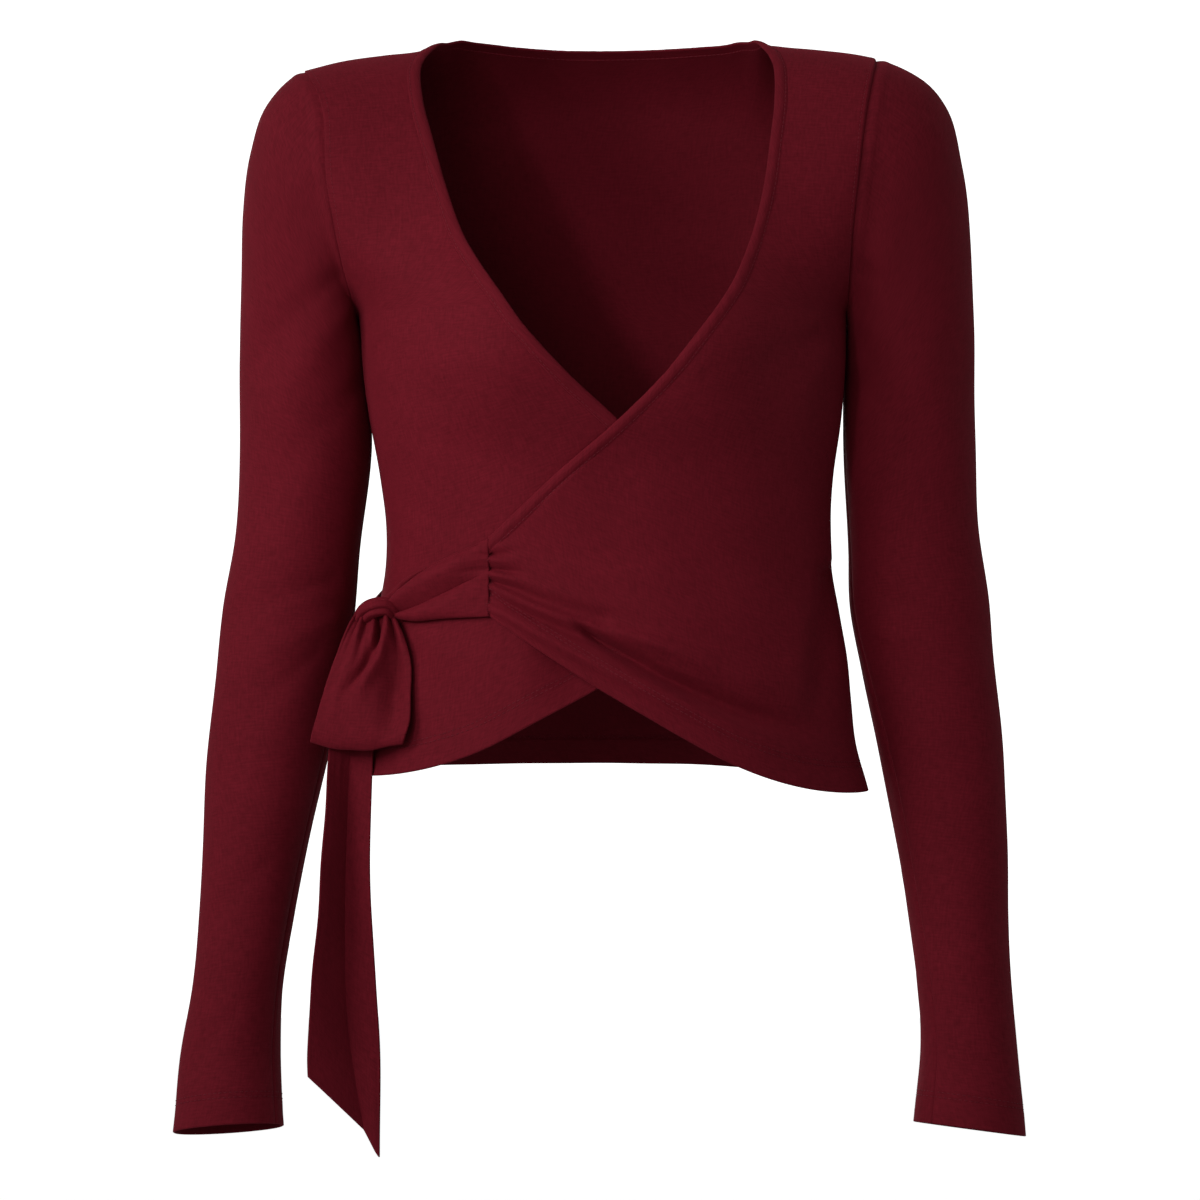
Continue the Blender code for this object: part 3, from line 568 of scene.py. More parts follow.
# Seen from behind, where the tie draws in the waist and the shoulder blades hold the cloth off it.
BACK_CREASES = table(CREASE, [
    (60, -298, 66, -262, 2, 0.9, 4, 9), (38, -298, 36, -274, 1, -0.7, 3, 7),
    (14, -298, 10, -252, -2, 0.8, 4, 10), (-12, -298, -10, -276, 1, -0.6, 3, 6),
    (-38, -298, -46, -258, -2, 0.9, 4, 9), (-70, -300, -82, -266, 1, -0.8, 4, 8),
    (84, -299, 96, -268, 1, -0.8, 4, 9), (-92, -301, -104, -272, 1, 0.8, 4, 8),
    (52, -338, 62, -386, -2, 0.9, 4, 12), (20, -338, 22, -372, 1, -0.8, 4, 9),
    (-8, -338, -14, -396, 2, 1, 5, 13), (-44, -338, -54, -378, 1, -0.8, 4, 10),
    (-76, -338, -94, -392, 2, 1, 5, 12), (88, -336, 106, -392, 2, -0.9, 5, 12),
    (128, -168, 62, -214, 6, 1.6, 6, 15, 0.2), (-126, -168, -60, -220, 6, 1.5, 6, 15, 0.2),
    (122, -190, 74, -252, 5, -1.2, 7, 14, 0.2), (-118, -194, -78, -250, 5, -1.1, 7, 14),
    (110, -276, 40, -252, -4, -1, 5, 12), (-108, -282, -34, -256, 4, -0.9, 5, 12),
    (-30, -268, 34, -264, 3, -0.9, 6, 9), (118, -96, 84, -150, 4, -1.2, 7, 15),
    (-122, -100, -84, -152, 4, -1.2, 7, 15),
])


def armhole_levels(count):
    """Levels from the armpit to the shoulder point, closer together at both, as round a ring."""
    return ARMPIT * (1 + np.cos(pi * np.arange(count + 1) / count)) / 2


def from_hem(hem, end, count, zone=21.0, fine=32):
    """Levels from a hem up to an end, closer together where the hem is folded and stitched."""
    folded = np.linspace(hem, hem + zone, fine, endpoint=False)
    return np.concatenate([folded, np.linspace(hem + zone, end, count, endpoint=False)])


def back_panel():
    low = from_hem(BACK_HEM, ARMPIT, BACK_ROWS_LOW)
    base = np.concatenate([low, armhole_levels(BACK_ROWS_HIGH)])[:, None]
    at_back = np.linspace(corner_over, corner_under, BACK_NECK_COLUMNS + 1)
    neck_levels = np.interp(at_back, neck_steps, sewn_levels)
    neck_levels[[0, -1]] = 0.0
    neck = x_to_turn(np.interp(at_back, neck_steps, sewn_x), neck_levels)
    left = np.linspace(90, neck[0], BACK_SHOULDER, endpoint=False)
    right = np.linspace(-90, neck[-1], BACK_SHOULDER, endpoint=False)[::-1]
    turn = np.concatenate([left, neck, right])[None, :]
    top = np.pad(neck_levels, BACK_SHOULDER)[None, :]
    dip = np.sin(np.radians(turn)) ** 3
    hem = BACK_HEM + np.where(dip > 0, (HEM_LEFT - BACK_HEM) * dip, (BACK_HEM - HEM_RIGHT) * dip)
    lower = base + (hem - BACK_HEM) * np.clip((base - SLIT[0]) / (BACK_HEM - SLIT[0]), 0, 1)
    upper = ARMPIT + (base - ARMPIT) * (top - ARMPIT) / -ARMPIT
    level = np.where(base < ARMPIT, lower, upper)
    inside_slit = np.clip(1 - ((level - sum(SLIT) / 2) / (SLIT[1] - SLIT[0]) * 2) ** 2, 0, 1)
    turn = turn - SLIT_DEPTH * np.sqrt(inside_slit) * np.clip((turn - 68) / 22, 0, 1)
    x, z = turn_to_x(turn, level), height_of(turn_to_x(turn, level), level)
    off_seams = ease((90 - np.abs(turn)) / 12) * ease(-level / 30)
    under_tie = 1 - 0.75 * np.exp(-(((z + 318) / 22) ** 4))
    out = (creased(BACK_CREASES, x, z) + 0.35 * uneven(x, z, 70, 11)) * off_seams * under_tie
    grid = on_body(BACK, turn, level, out)[0]
    piece, normals, sewn = hemmed("back_panel_cloth", grid, grid * [1, 1, 0], "back_hem_stitches")
    inner = stitches("back_hem_inner_stitches", [line_at(grid, -normals, HEM + TWIN / 2)], 0.5, swing=1.2)
    sew(piece, "back_panel")


back_panel()

# ---------------------------------------------------------------------------------------------- fronts
# Two crossed fronts of one layer each. The over front, at the wearer's left, is gathered into a short
# seam with the tie, and its folds fan out from there. The under front runs inside it to the left side.

TIE_SEAM_OVER, TIE_SEAM_UNDER, TIE_SEAM_FOOT = -61.0, 72.0, -330.0
FRONT_COLUMNS, SEAM_ROWS, FAN_ROWS, ARMHOLE_ROWS = 132, 44, 84, 76
ARMHOLE_STITCH = 3.0  # from the armhole seam to the stitches beside it
LOOSE = 0.8  # how far the over front stands off between its seams
FOLD_DEPTH = 1.15  # what its folds' rises are multiplied by
DEEPEST_ROOM = 7.2  # how far the under front gives way behind the deepest of them

OVER_FOLDS = table(CREASE, [
    (-61, -298, 40, -314, 2, 1.2, 3, 10, 0.2), (-61, -306, 74, -337, 3, 1.7, 3.2, 11, 0.1),
    (-60, -311, 20, -338, 2, -2.2, 2.4, 7, 0.35), (-61, -314.5, 56, -352, 3.5, 2.4, 2.4, 8, -0.1),
    (-61, -317.5, 34, -355, 4, -2.6, 2, 5.5, 0.40), (-4, -340.5, 112, -394, 4.5, -8.4, 2.4, 9, -0.05),
    (-60, -325, 104, -404, 4, 3.6, 3, 8.5, 0.25), (10, -337, 104, -371, 2, 2.2, 4, 8, 0.3),
    (131, -306, 123, -386, -2, -3.8, 6, 12, 0.1), (112, -330, 106, -392, -2, 1.2, 7, 13),
    (62, -196, 118, -246, -5, -0.8, 9, 17), (124, -172, 88, -196, 2, -1.6, 5, 12),
    (128, -182, 108, -232, 3, 1.2, 5, 12), (104, -262, 30, -280, 3, -0.7, 8, 16),
])
GATHERS = table(CREASE, [
    (-64, -291.5, -44, -290.5, 0, 1, 1.6, 3.4), (-64, -295.6, -50, -295.6, 0, -2.4, 1, 2.2),
    (-64, -298.4, -40, -297.4, 0, 1.7, 1.2, 3), (-64, -303, -46, -305.6, 0, -2.7, 1.1, 2.2),
    (-64, -306.2, -40, -309.6, 0, 1.3, 1.1, 3), (-64, -309.6, -42, -315.6, 0, -1.4, 0.9, 2.4),
    (-64, -312.6, -46, -317, 0, 0.9, 0.9, 2.4), (-64, -321.4, -48, -325.4, 0, -0.9, 0.9, 2.4),
    (-64, -325.8, -44, -331.8, 0, 0.8, 1.2, 3),
])
UNDER_FOLDS = table(CREASE, [
    (-122, -176, -84, -214, 4, -1.4, 5, 14), (-118, -236, -40, -268, -4, 0.9, 7, 15),
    (-116, -262, -72, -282, 2, -0.9, 5, 10), (-112, -340, -30, -372, -3, 0.9, 6, 14),
    (-104, -352, -62, -400, 3, -0.9, 5, 12), (-60, -338, -8, -356, 0, -0.7, 5, 10),
])


def make_room(x, z):
    """How far the under front gives way to the folds that lie on it."""
    return DEEPEST_ROOM * np.exp(-(((z + 346) / 36) ** 4)) * ease((x + 46) / 34)


def front_rows(side, x, levels, tie_x):
    """Levels of a front's rows at its inner edge: up the tie seam, up the neckline to the shoulder."""
    order = np.argsort(side * x)
    neck_foot = np.interp(side * tie_x, side * x[order], levels[order])
    return np.concatenate([
        np.linspace(TIE_SEAM_FOOT, neck_foot, SEAM_ROWS, endpoint=False),
        np.linspace(neck_foot, ARMPIT, FAN_ROWS, endpoint=False),
        armhole_levels(ARMHOLE_ROWS),
    ])


def front(name, side, hem_corner, steps, corner, tie_x, out_of, seed):
    """A front: its rows run from the side seam and armhole to the tie seam and neckline."""
    inner = front_rows(side, sewn_x[steps], sewn_levels[steps], tie_x)
    levels = sewn_levels[steps]
    order = np.argsort(levels)
    at = np.interp(inner[SEAM_ROWS:], levels[order], steps[order])
    at[-1] = corner
    inner_x = np.concatenate([np.full(SEAM_ROWS, tie_x), np.interp(at, neck_steps, sewn_x)])
    reach = (ARMPIT - hem_corner) / (ARMPIT - TIE_SEAM_FOOT)
    outer = np.where(inner < ARMPIT, ARMPIT + (inner - ARMPIT) * reach, inner)
    u = (np.linspace(0.0, 1.0, FRONT_COLUMNS + 1) ** 1.05)[None, :]
    turn_in = x_to_turn(inner_x, inner)[:, None]
    turn = side * 90 + (turn_in - side * 90) * u
    share = (side - np.sin(np.radians(turn))) / (side - np.sin(np.radians(turn_in)))
    hem = np.where(share < 0.4, share**2, 0.8 * share - 0.16) / 0.64  # it leaves the side seam level
    straight = np.clip((inner - TIE_SEAM_FOOT) / (ARMPIT - TIE_SEAM_FOOT), 0, 1)[:, None]
    level = between(outer[:, None], inner[:, None], between(hem, share, straight))
    x = turn_to_x(turn, level)
    z = height_of(x, level)
    off_seams = ease((90 - np.abs(turn)) / 8)
    out = out_of(x, z, off_seams) + 0.3 * uneven(x, z, 75, seed) * off_seams * ease(-level / 30)
    grid = on_body(FRONT, turn, level, out)[0]
    piece, normals, sewn = hemmed(name + "_cloth", grid, grid * [1, 1, 0], name + "_hem_stitches")
    armhole = [rows[SEAM_ROWS + FAN_ROWS :].transpose(1, 0, 2) for rows in (grid, normals)]
    along_armhole = stitches(
        name + "_armhole_stitches", [line_at(*armhole, ARMHOLE_STITCH)], radius=0.13, length=1.6
    )
    sew(piece, name)
    return grid, normals


def over_layer(x, z, off_seams):
    fine = creased(GATHERS, x, z, 0.05, 0.8)
    folds = FOLD_DEPTH * creased(OVER_FOLDS, x, z) * off_seams * (0.4 + 0.6 * ease((x + 62) / 26))
    return over_out(x) + LOOSE * ease((x + 66) / 10) * off_seams + folds + fine


def under_layer(x, z, off_seams):
    return under_out(x) - make_room(x, z) + creased(UNDER_FOLDS, x, z) * off_seams


over = ("front_left", 1, HEM_LEFT, over_steps, corner_over, TIE_SEAM_OVER, over_layer, 21)
under = ("front_right", -1, HEM_RIGHT, under_steps, corner_under, TIE_SEAM_UNDER, under_layer, 22)
over_grid, over_normals = front(*over)
front(*under)

# -------------------------------------------------------------------------------------------- neckband
# One strip of the same jersey, folded double, holds the raw neck edges of all three panels between its
# layers. It is topstitched close to its sewn edge and ends in line with the tie seams.

BAND_WALL, BAND_COLUMNS, BAND_END = 1.5, 9, 30.0
BAND_ROUND = [0.0, 0.40, 0.66, 0.78, 0.74, 0.56, 0.26, -0.30, -0.1]  # how plump, from its free edge on
EDGE_STITCH = 0.9  # from the band's sewn edge to its stitches


def squared_off(steps, x):
    """Steps along the opening edge, moved at both ends so that the band ends in line with its seams."""
    first = np.argmax(x[: len(x) // 2] > TIE_SEAM_OVER)
    last = len(x) - 1 - np.argmax(x[: len(x) // 2 : -1] < TIE_SEAM_UNDER)
    near_first = np.clip(1 - (steps - steps[0]) / BAND_END, 0, 1)
    near_last = np.clip(1 - (steps[-1] - steps) / BAND_END, 0, 1)
    return steps + near_first * (first - steps[0]) + near_last * (last - steps[-1])


def on_either(faces, turn, level, out):
    """Points on the body, each on its own face."""
    ahead, behind = (on_body(face, turn, level, out)[0] for face in (FRONT, BACK))
    return np.where(faces[..., None] == FRONT, ahead, behind)


def neckband():
    outer_x = (opening + inward * BAND)[:, 0]
    first = np.interp(TIE_SEAM_OVER, outer_x[: half // 2], neck_steps[: half // 2])
    last = np.interp(-TIE_SEAM_UNDER, -outer_x[-half // 2 :], neck_steps[-half // 2 :])
    sewn = np.linspace(first, last, NECK_STEPS)
    free = squared_off(sewn, opening[:, 0])
    lines = []
    for t in np.linspace(0, 1, BAND_COLUMNS):
        faces, x, levels = onto_body(opening + inward * BAND * t)
        line = on_either(faces, x_to_turn(x, levels), levels, neck_outs)
        lines.append(read(between(free, sewn, t), neck_steps, line))
    grid = np.array(lines)
    outward = np.cross(np.gradient(grid, axis=1), np.gradient(grid, axis=0))
    outward = outward * np.sign((outward * grid * [1, 1, 0]).sum())
    grid = grid + unit(outward) * BAND_WALL / 2
    piece = shell("neckband_cloth", grid, outward, BAND_WALL, relief=np.array(BAND_ROUND)[:, None], extra=0.1)
    normals = grid_normals(grid, outward)
    line, facing = line_at(grid[::-1, 3:-3], normals[::-1, 3:-3], EDGE_STITCH)
    sewn_on = stitches("neckband_stitches", [(line, facing)], 0.7, radius=0.2)
    behind = stitches("neckband_inner_stitches", [(line, -facing)], 0.9, radius=0.2)
    sew(piece, "neckband")


neckband()

# --------------------------------------------------------------------------------------------- sleeves
# Two long set-in sleeves, each one layer sewn into a tube along the underarm. They hang from the round
# head at the shoulder, bend a little at the elbow and end in a folded, twin-stitched hem.

RING = "inner_x inner_z outer_x outer_z middle depth drop"
SLEEVE_RIGHT = table(RING, [
    (-140, -161, -183, -22.5, 3, 57), (-138.8, -167, -194, -36, 3.5, 56), (-137.4, -176, -202, -61, 4, 54),
    (-136.2, -187, -206.5, -95, 5, 51.5), (-135, -203, -208.8, -135, 6, 48.5),
    (-133, -224, -209, -180, 7, 46.5), (-140, -292, -211.5, -282, 9.5, 43),
    (-143, -328, -219, -325, 10, 41.5), (-149.5, -366, -223.5, -368, 8, 39.5, 0.03),
    (-157, -405, -227.5, -411, 4, 37, 0.08), (-175.5, -495, -231, -502, -11, 31.5, 0.17),
    (-182, -540, -234.5, -545, -20, 30, 0.19), (-183.8, -580, -240, -584, -28, 29, 0.2),
    (-181, -620.5, -243.3, -625, -36, 29.5, 0.21),
])
SLEEVE_LEFT = table(RING, [
    (142.7, -161, 173.5, -12.5, 3, 57), (142.8, -167, 189, -21.5, 3.5, 56),
    (142.6, -176, 201.5, -37, 4, 54), (142.2, -187, 210, -70, 5, 51.5), (141.8, -203, 215, -112, 6, 48.5),
    (141.8, -224, 216.8, -160, 7, 46.5), (145, -292, 219.5, -275, 9.5, 43),
    (146.2, -328, 226, -324, 10, 41.5), (153.5, -366, 230, -368, 8, 39.5, 0.03),
    (162, -405, 233.5, -411, 4, 37, 0.07), (177.5, -495, 235.7, -502, -9, 31.5, 0.12),
    (183, -540, 236.5, -545, -16, 30, 0.13), (184.8, -580, 239.8, -586, -22, 29, 0.13),
    (180, -619.5, 243.5, -628, -28, 29.5, 0.13),
])
SLEEVE_ROWS, SLEEVE_COLUMNS = 200, 136
ROUND = 0.61  # millimetres round a sleeve for each degree
ALLOWANCE = 2.5  # how far a sleeve goes on past the armhole seam, inside the body

# Places on a sleeve: millimetres round it from its outer line towards the front, and the height there.
RIGHT_CREASES = table(CREASE, [
    (88, -132, 24, -196, 6, -1.6, 5, 14, 0.1), (92, -150, 44, -214, 5, 1.4, 5, 12),
    (62, -70, 52, -150, 3, -1.2, 7, 14), (34, -58, 30, -120, 2, 0.8, 8, 14),
    (96, -196, 40, -262, 5, -1, 6, 13), (84, -310, 20, -338, 3, -1.1, 5, 12, 0.2),
    (88, -332, 30, -366, 3, 1, 5, 11), (80, -352, 46, -392, 2, -0.9, 4, 10),
    (-96, -150, -40, -220, 5, -1.3, 6, 14), (-92, -300, -30, -330, -4, -1.2, 5, 12),
    (-88, -322, -36, -356, 4, 1.1, 5, 12), (-60, -80, -50, -160, 3, -1.1, 8, 14),
    (70, -470, 20, -520, 3, -0.7, 5, 12), (-64, -440, -20, -486, 3, -0.8, 5, 12),
    (60, -556, 24, -590, 2, -0.6, 4, 9), (-52, -540, -22, -580, 2, 0.7, 5, 10),
    (100, -124, 66, -86, 3, -2, 2.2, 5, 0.3), (102, -136, 70, -98, 3, 1.5, 2.4, 5.5),
])
LEFT_CREASES = table(CREASE, [
    (86, -128, 30, -188, 5, -1.4, 5, 13, 0.1), (92, -154, 38, -226, 5, 1.3, 6, 12),
    (60, -76, 50, -150, 3, -1, 7, 14), (30, -50, 30, -112, 2, 0.7, 8, 14),
    (98, -190, 46, -248, 5, -0.9, 6, 13), (82, -318, 18, -350, 3, -1, 5, 12, 0.2),
    (86, -340, 28, -372, 3, 0.9, 5, 11), (76, -366, 44, -400, 2, -0.8, 4, 10),
    (-96, -146, -36, -214, 5, -1.4, 6, 14), (-90, -306, -34, -340, -4, -1.1, 5, 12),
    (-86, -330, -40, -362, 4, 1, 5, 12), (-60, -84, -52, -164, 3, -1, 8, 14),
    (66, -462, 18, -508, 3, -0.7, 5, 12), (-62, -446, -22, -496, 3, -0.7, 5, 12),
    (56, -560, 22, -592, 2, 0.6, 4, 9), (-52, -548, -24, -584, 2, -0.6, 5, 10),
    (100, -120, 68, -84, 3, -2.2, 2.2, 5, 0.3), (102, -132, 72, -97, 3, 1.6, 2.4, 5.5),
])


def sleeve(name, side, rings, creases, drift, seed):
    """A tube from the armhole to the cuff. Its underarm seam drifts to the front, by an angle at the cuff."""
    turns = pi + 2 * pi * np.linspace(0, 1, SLEEVE_COLUMNS + 1)[None, :]
    down = np.linspace(0, 1, len(rings) + 1)[:, None]
    phi = turns - drift * ease((down - 0.3) / 0.7)
    share, swell = (1 + np.cos(phi)) / 2, -np.sign(np.sin(phi)) * np.abs(np.sin(phi)) ** 0.9
    level = ARMPIT * (1 - share[0])
    x = side * half_width(np.full_like(level, side), level) + side * 0.05
    grid = [np.stack([x, TOP_DEPTH * share[0] ** 2 + swell[0] * ARMHOLE, height_of(x, level)], axis=-1)]
    for ring, part, away in zip(rings, share[1:], swell[1:] * np.array([r.depth for r in rings])[:, None]):
        z = between(ring.inner_z, ring.outer_z, part) - ring.drop * away
        grid.append(np.stack([between(ring.inner_x, ring.outer_x, part), ring.middle + away, z], axis=-1))
    at_cuff = 1 - from_hem(0.0, 0.98, SLEEVE_ROWS, 0.035, 30)[::-1]
    shares = np.concatenate([np.linspace(0.0, 0.02, 16, endpoint=False), at_cuff])
    knots = grid_run(np.array(grid)).mean(axis=1)
    grid = smooth(knots, np.array(grid), shares * knots[-1])
    outward = grid - grid.mean(axis=1, keepdims=True)
    normals = grid_normals(grid, outward)
    v = grid[..., 2]
    u = np.degrees(turns - drift * ease((shares[:, None] - 0.3) / 0.7) - 2 * pi) * ROUND
    u = np.where(u < -180 * ROUND, u + 360 * ROUND, u)
    from_top = grid_run(grid)
    to_seam = np.minimum(np.arange(SLEEVE_COLUMNS + 1), np.arange(SLEEVE_COLUMNS, -1, -1))[None, :]
    free = ease(from_top / 10) * ease((from_top.max(axis=0) - from_top) / 14) * ease(to_seam / 6)
    lift = (creased(creases, u, v) + 0.4 * uneven(u, v, 80, seed)) * free
    lift = lift - 0.7 * bell(to_seam, 0.9) - 0.9 * bell(from_top, 2.2)  # both seams draw it in
    lift = lift + 0.6 * bell(from_top - 6, 3.0) * ease(v / 60 + 2.4)  # and the head stands up beside its own
    allowance = grid[:1] - [side * ALLOWANCE, 0, 0] - 0.35 * unit(outward[:1])
    grid = np.concatenate([allowance, grid + normals * lift[..., None]])[::-1]
    outward = np.concatenate([outward[:1], outward])[::-1]
    piece, normals, sewn = hemmed(name + "_cloth", grid, outward, name + "_cuff_stitches", 0.14)
    sew(piece, name)


sleeve("sleeve_right", -1, SLEEVE_RIGHT, RIGHT_CREASES, 0.45, 31)
sleeve("sleeve_left", 1, SLEEVE_LEFT, LEFT_CREASES, 0.74, 32)

# ------------------------------------------------------------------------------------------- front tie
# A doubled strip sewn to the over front's gathered edge with a zigzag stitch. It is flat at the seam
# and squeezes into three rolls where the knot takes hold of it.

FRONT_TIE = table("x top foot", [
    (-61.1, -287, -330.2), (-75, -293.4, -330.8), (-89.5, -300.6, -331.8), (-100, -306.5, -333),
    (-107, -311.5, -332.6), (-113, -317.5, -331), (-119, -321.5, -329),
])
TIE_WALL, TIE_ROWS, TIE_COLUMNS = 1.3, 90, 110
LOW_ZIGZAG, HIGH_ZIGZAG = slice(2, 30), slice(38, 43)  # the seam's rows where its stitches show
LOW_ROLL, MIDDLE_ROLL, HIGH_ROLL = 4.0, 8.0, 4.4  # how far each roll stands up
# The grooves between the rolls: how far to the right, and the share of the tie's width from its foot.
LOW_GROOVE = [(62, 0.58), (75, 0.49), (87.5, 0.38), (101, 0.28), (111, 0.16), (119, 0.12)]
HIGH_GROOVE = [(62, 0.985), (88, 0.97), (97, 0.93), (106, 0.78), (113, 0.50), (119, 0.42)]


def down_and_across(rows, columns, start=0, end=1):
    """Even shares down a grid's rows, and from a start to an end across its columns."""
    return np.linspace(0, 1, rows)[:, None], np.linspace(start, end, columns)[None, :]


def front_tie():
    u, v = down_and_across(TIE_ROWS, TIE_COLUMNS)
    x = between(FRONT_TIE[0].x, FRONT_TIE[-1].x, u)
    rows = list(reversed(FRONT_TIE))
    level = between(along(rows, "x", "foot", x), along(rows, "x", "top", x), v)
    x = np.broadcast_to(x, level.shape)
    tight = ease((-x - 53) / 36)
    low_groove, high_groove = (np.interp(-x, *zip(*places)) for places in (LOW_GROOVE, HIGH_GROOVE))
    share = np.where(v < low_groove, v / low_groove, (v - low_groove) / (high_groove - low_groove))
    share = np.where(v > high_groove, (v - high_groove) / (1.001 - high_groove), share)
    between_grooves = (v > low_groove) & (v < high_groove)
    share = np.where(between_grooves, np.clip(share, 0, 1) ** 1.5, np.clip(share, 0, 1))
    height = np.where(v < low_groove, LOW_ROLL, np.where(between_grooves, MIDDLE_ROLL, HIGH_ROLL))
    late = np.where(v > high_groove, ease((-x - 88) / 14), 1.0)
    rolls = height * tight * late * np.sin(pi * share) ** np.where(between_grooves, 0.65, 0.55)
    small = creased(GATHERS, -122 - x, level, 0.05, 0.8) * 0.22
    out = over_out(x) + 0.9 + rolls + small + 0.8 * tight
    grid = on_body(FRONT, x_to_turn(x, level), level, out)[0]
    piece = shell("tie_front_cloth", grid, grid * [1, 1, 0], TIE_WALL)
    low, high = ([rows[part, -1] for rows in (over_grid, over_normals)] for part in (LOW_ZIGZAG, HIGH_ZIGZAG))
    zigzag = stitches("tie_seam_stitches", [low], 0.75, 1.7, 0.9, 0.25)
    sewn = stitches("tie_seam_upper_stitches", [high], 0.75, 1.2, 0.9, 0.25)
    sew(piece, "tie_front")


front_tie()

# -------------------------------------------------------------------------------------------- back tie
# The under front's own tie, a doubled strip. It comes out through the slit in the left side seam, goes
# flat round the back of the waist and narrows into the knot at the right side.

BACK_TIE = table("around top foot out", [
    (35.5, -288, -330, -4.4), (50, -295, -329, -4.4), (66, -300, -327, -4.2), (80, -304, -324, -3.4),
    (87, -306, -322, -2.4), (90.5, -306, -322, -1.4), (94, -306, -322, 0.2), (98.5, -305.5, -323, 1.7),
    (106, -303, -327, 2.5), (130, -301, -332, 2.6), (162, -300, -335, 2.4), (198, -301, -336, 2.4),
    (230, -304, -335, 2.6), (250, -309.5, -334.5, 2.6), (260, -316, -335.5, 2.2), (272, -321, -336, 2.2),
    (282, -321.5, -334, 4), (288, -322, -333, 5.4), (293, -322.5, -332, 6.2),
])
LAP_WALL, LAP_ROWS, LAP_COLUMNS = 1.2, 360, 30


def round_body(around, level, out):
    behind = (around > 90) & (around < 270)
    turn = np.where(behind, 180 - around, np.where(around >= 270, around - 360, around))
    return on_either(np.where(behind, BACK, FRONT), turn, level, out)


def back_tie():
    around = np.linspace(BACK_TIE[0].around, BACK_TIE[-1].around, LAP_ROWS)[:, None]
    t = np.linspace(0, 1, LAP_COLUMNS)[None, :]
    top, foot, out = (along(BACK_TIE, "around", part, around) for part in ("top", "foot", "out"))
    level = between(foot, top, t)
    around = np.broadcast_to(around, level.shape)
    tight = ease((around - 225) / 62) + 0.6 * ease((112 - around) / 20)
    folds = tight * (1.1 * np.cos(2 * pi * (2.0 * t + 0.15 * np.sin(around / 17))) + 0.4)
    creases = 0.35 * np.sin(2 * pi * (t * 1.4 + around / 61)) * np.sin(around / 7.3) ** 2
    bulge = 0.5 * np.sin(pi * t)
    grid = round_body(around, level, out + (folds + creases + bulge) * ease((around - 97) / 12))
    piece = shell("tie_back_cloth", grid, grid * [1, 1, 0], LAP_WALL)
    sew(piece, "tie_back")


back_tie()

# ------------------------------------------------------------------------------------------------ knot
# The knot of the half bow: one turn of the tie laid over its own gathered loop, arched and pleated
# along its length.

KNOT_WALL, KNOT_ROWS, KNOT_COLUMNS = 1.0, 60, 96
HALF_HEIGHT, HALF_DEPTH = 5.0, 5.8  # of the knot, across its line
KNOT_LINE = [
    (-134.6, -45.5, -338.0), (-134.2, -52.0, -331.6), (-130.8, -56.8, -327.6), (-126.2, -58.8, -325.8),
    (-121.2, -58.6, -325.4), (-117.0, -55.5, -328.0), (-114.5, -51.0, -333.0),
]


def knot():
    line, ahead = spline(KNOT_LINE, KNOT_ROWS)
    end, turn = down_and_across(KNOT_ROWS, KNOT_COLUMNS, end=0.98)
    theta = 2 * pi * turn
    belly = np.sin(pi * between(0.12, 0.88, end)) ** 0.5
    up = unit(np.cross(ahead, np.broadcast_to([0.0, -1.0, 0.0], ahead.shape)))
    out = unit(np.cross(up, ahead))
    pleats = 0.75 * np.cos(5 * theta + 0.8 * np.sin(3 * end) + 1.0) + 0.35 * np.cos(9 * theta + 4 * end)
    upward = up[:, None] * (np.cos(theta) * (HALF_HEIGHT * belly + pleats))[..., None]
    outward = upward + out[:, None] * (np.sin(theta) * (HALF_DEPTH * belly + pleats))[..., None]
    piece = shell("bow_knot_cloth", line[:, None] + outward, outward, KNOT_WALL)
    sew(piece, "bow_knot")


knot()

# ---------------------------------------------------------------------------------------------- loop
# The loop of the half bow: the doubled strip comes down from the knot, turns at its foot and goes up
# behind. Gathers start under the knot, and one big fold crosses it.

BOW_LOOP = table("left_x left_y right_x right_y height", [
    (-138, -54.5, -117.5, -55.5, -329), (-141.5, -59, -114, -61, -335), (-145, -62, -110.2, -66.5, -343),
    (-150, -62.5, -106.6, -70.5, -357), (-156, -60.5, -106.8, -74.5, -374), (-160.2, -58, -107, -78, -388),
    (-163, -55.5, -109.6, -78.5, -397.5), (-163.8, -52, -110.8, -75.5, -401.5),
    (-162.8, -48.8, -110, -72, -399), (-160, -47.8, -107.6, -69, -387), (-155, -48.5, -104, -64.5, -368),
    (-148, -50, -105.5, -58.5, -349), (-139.5, -51.5, -117.5, -53.5, -333),
])
LOOP_LENGTH, LOOP_ROWS, LOOP_COLUMNS = 74.0, 200, 96


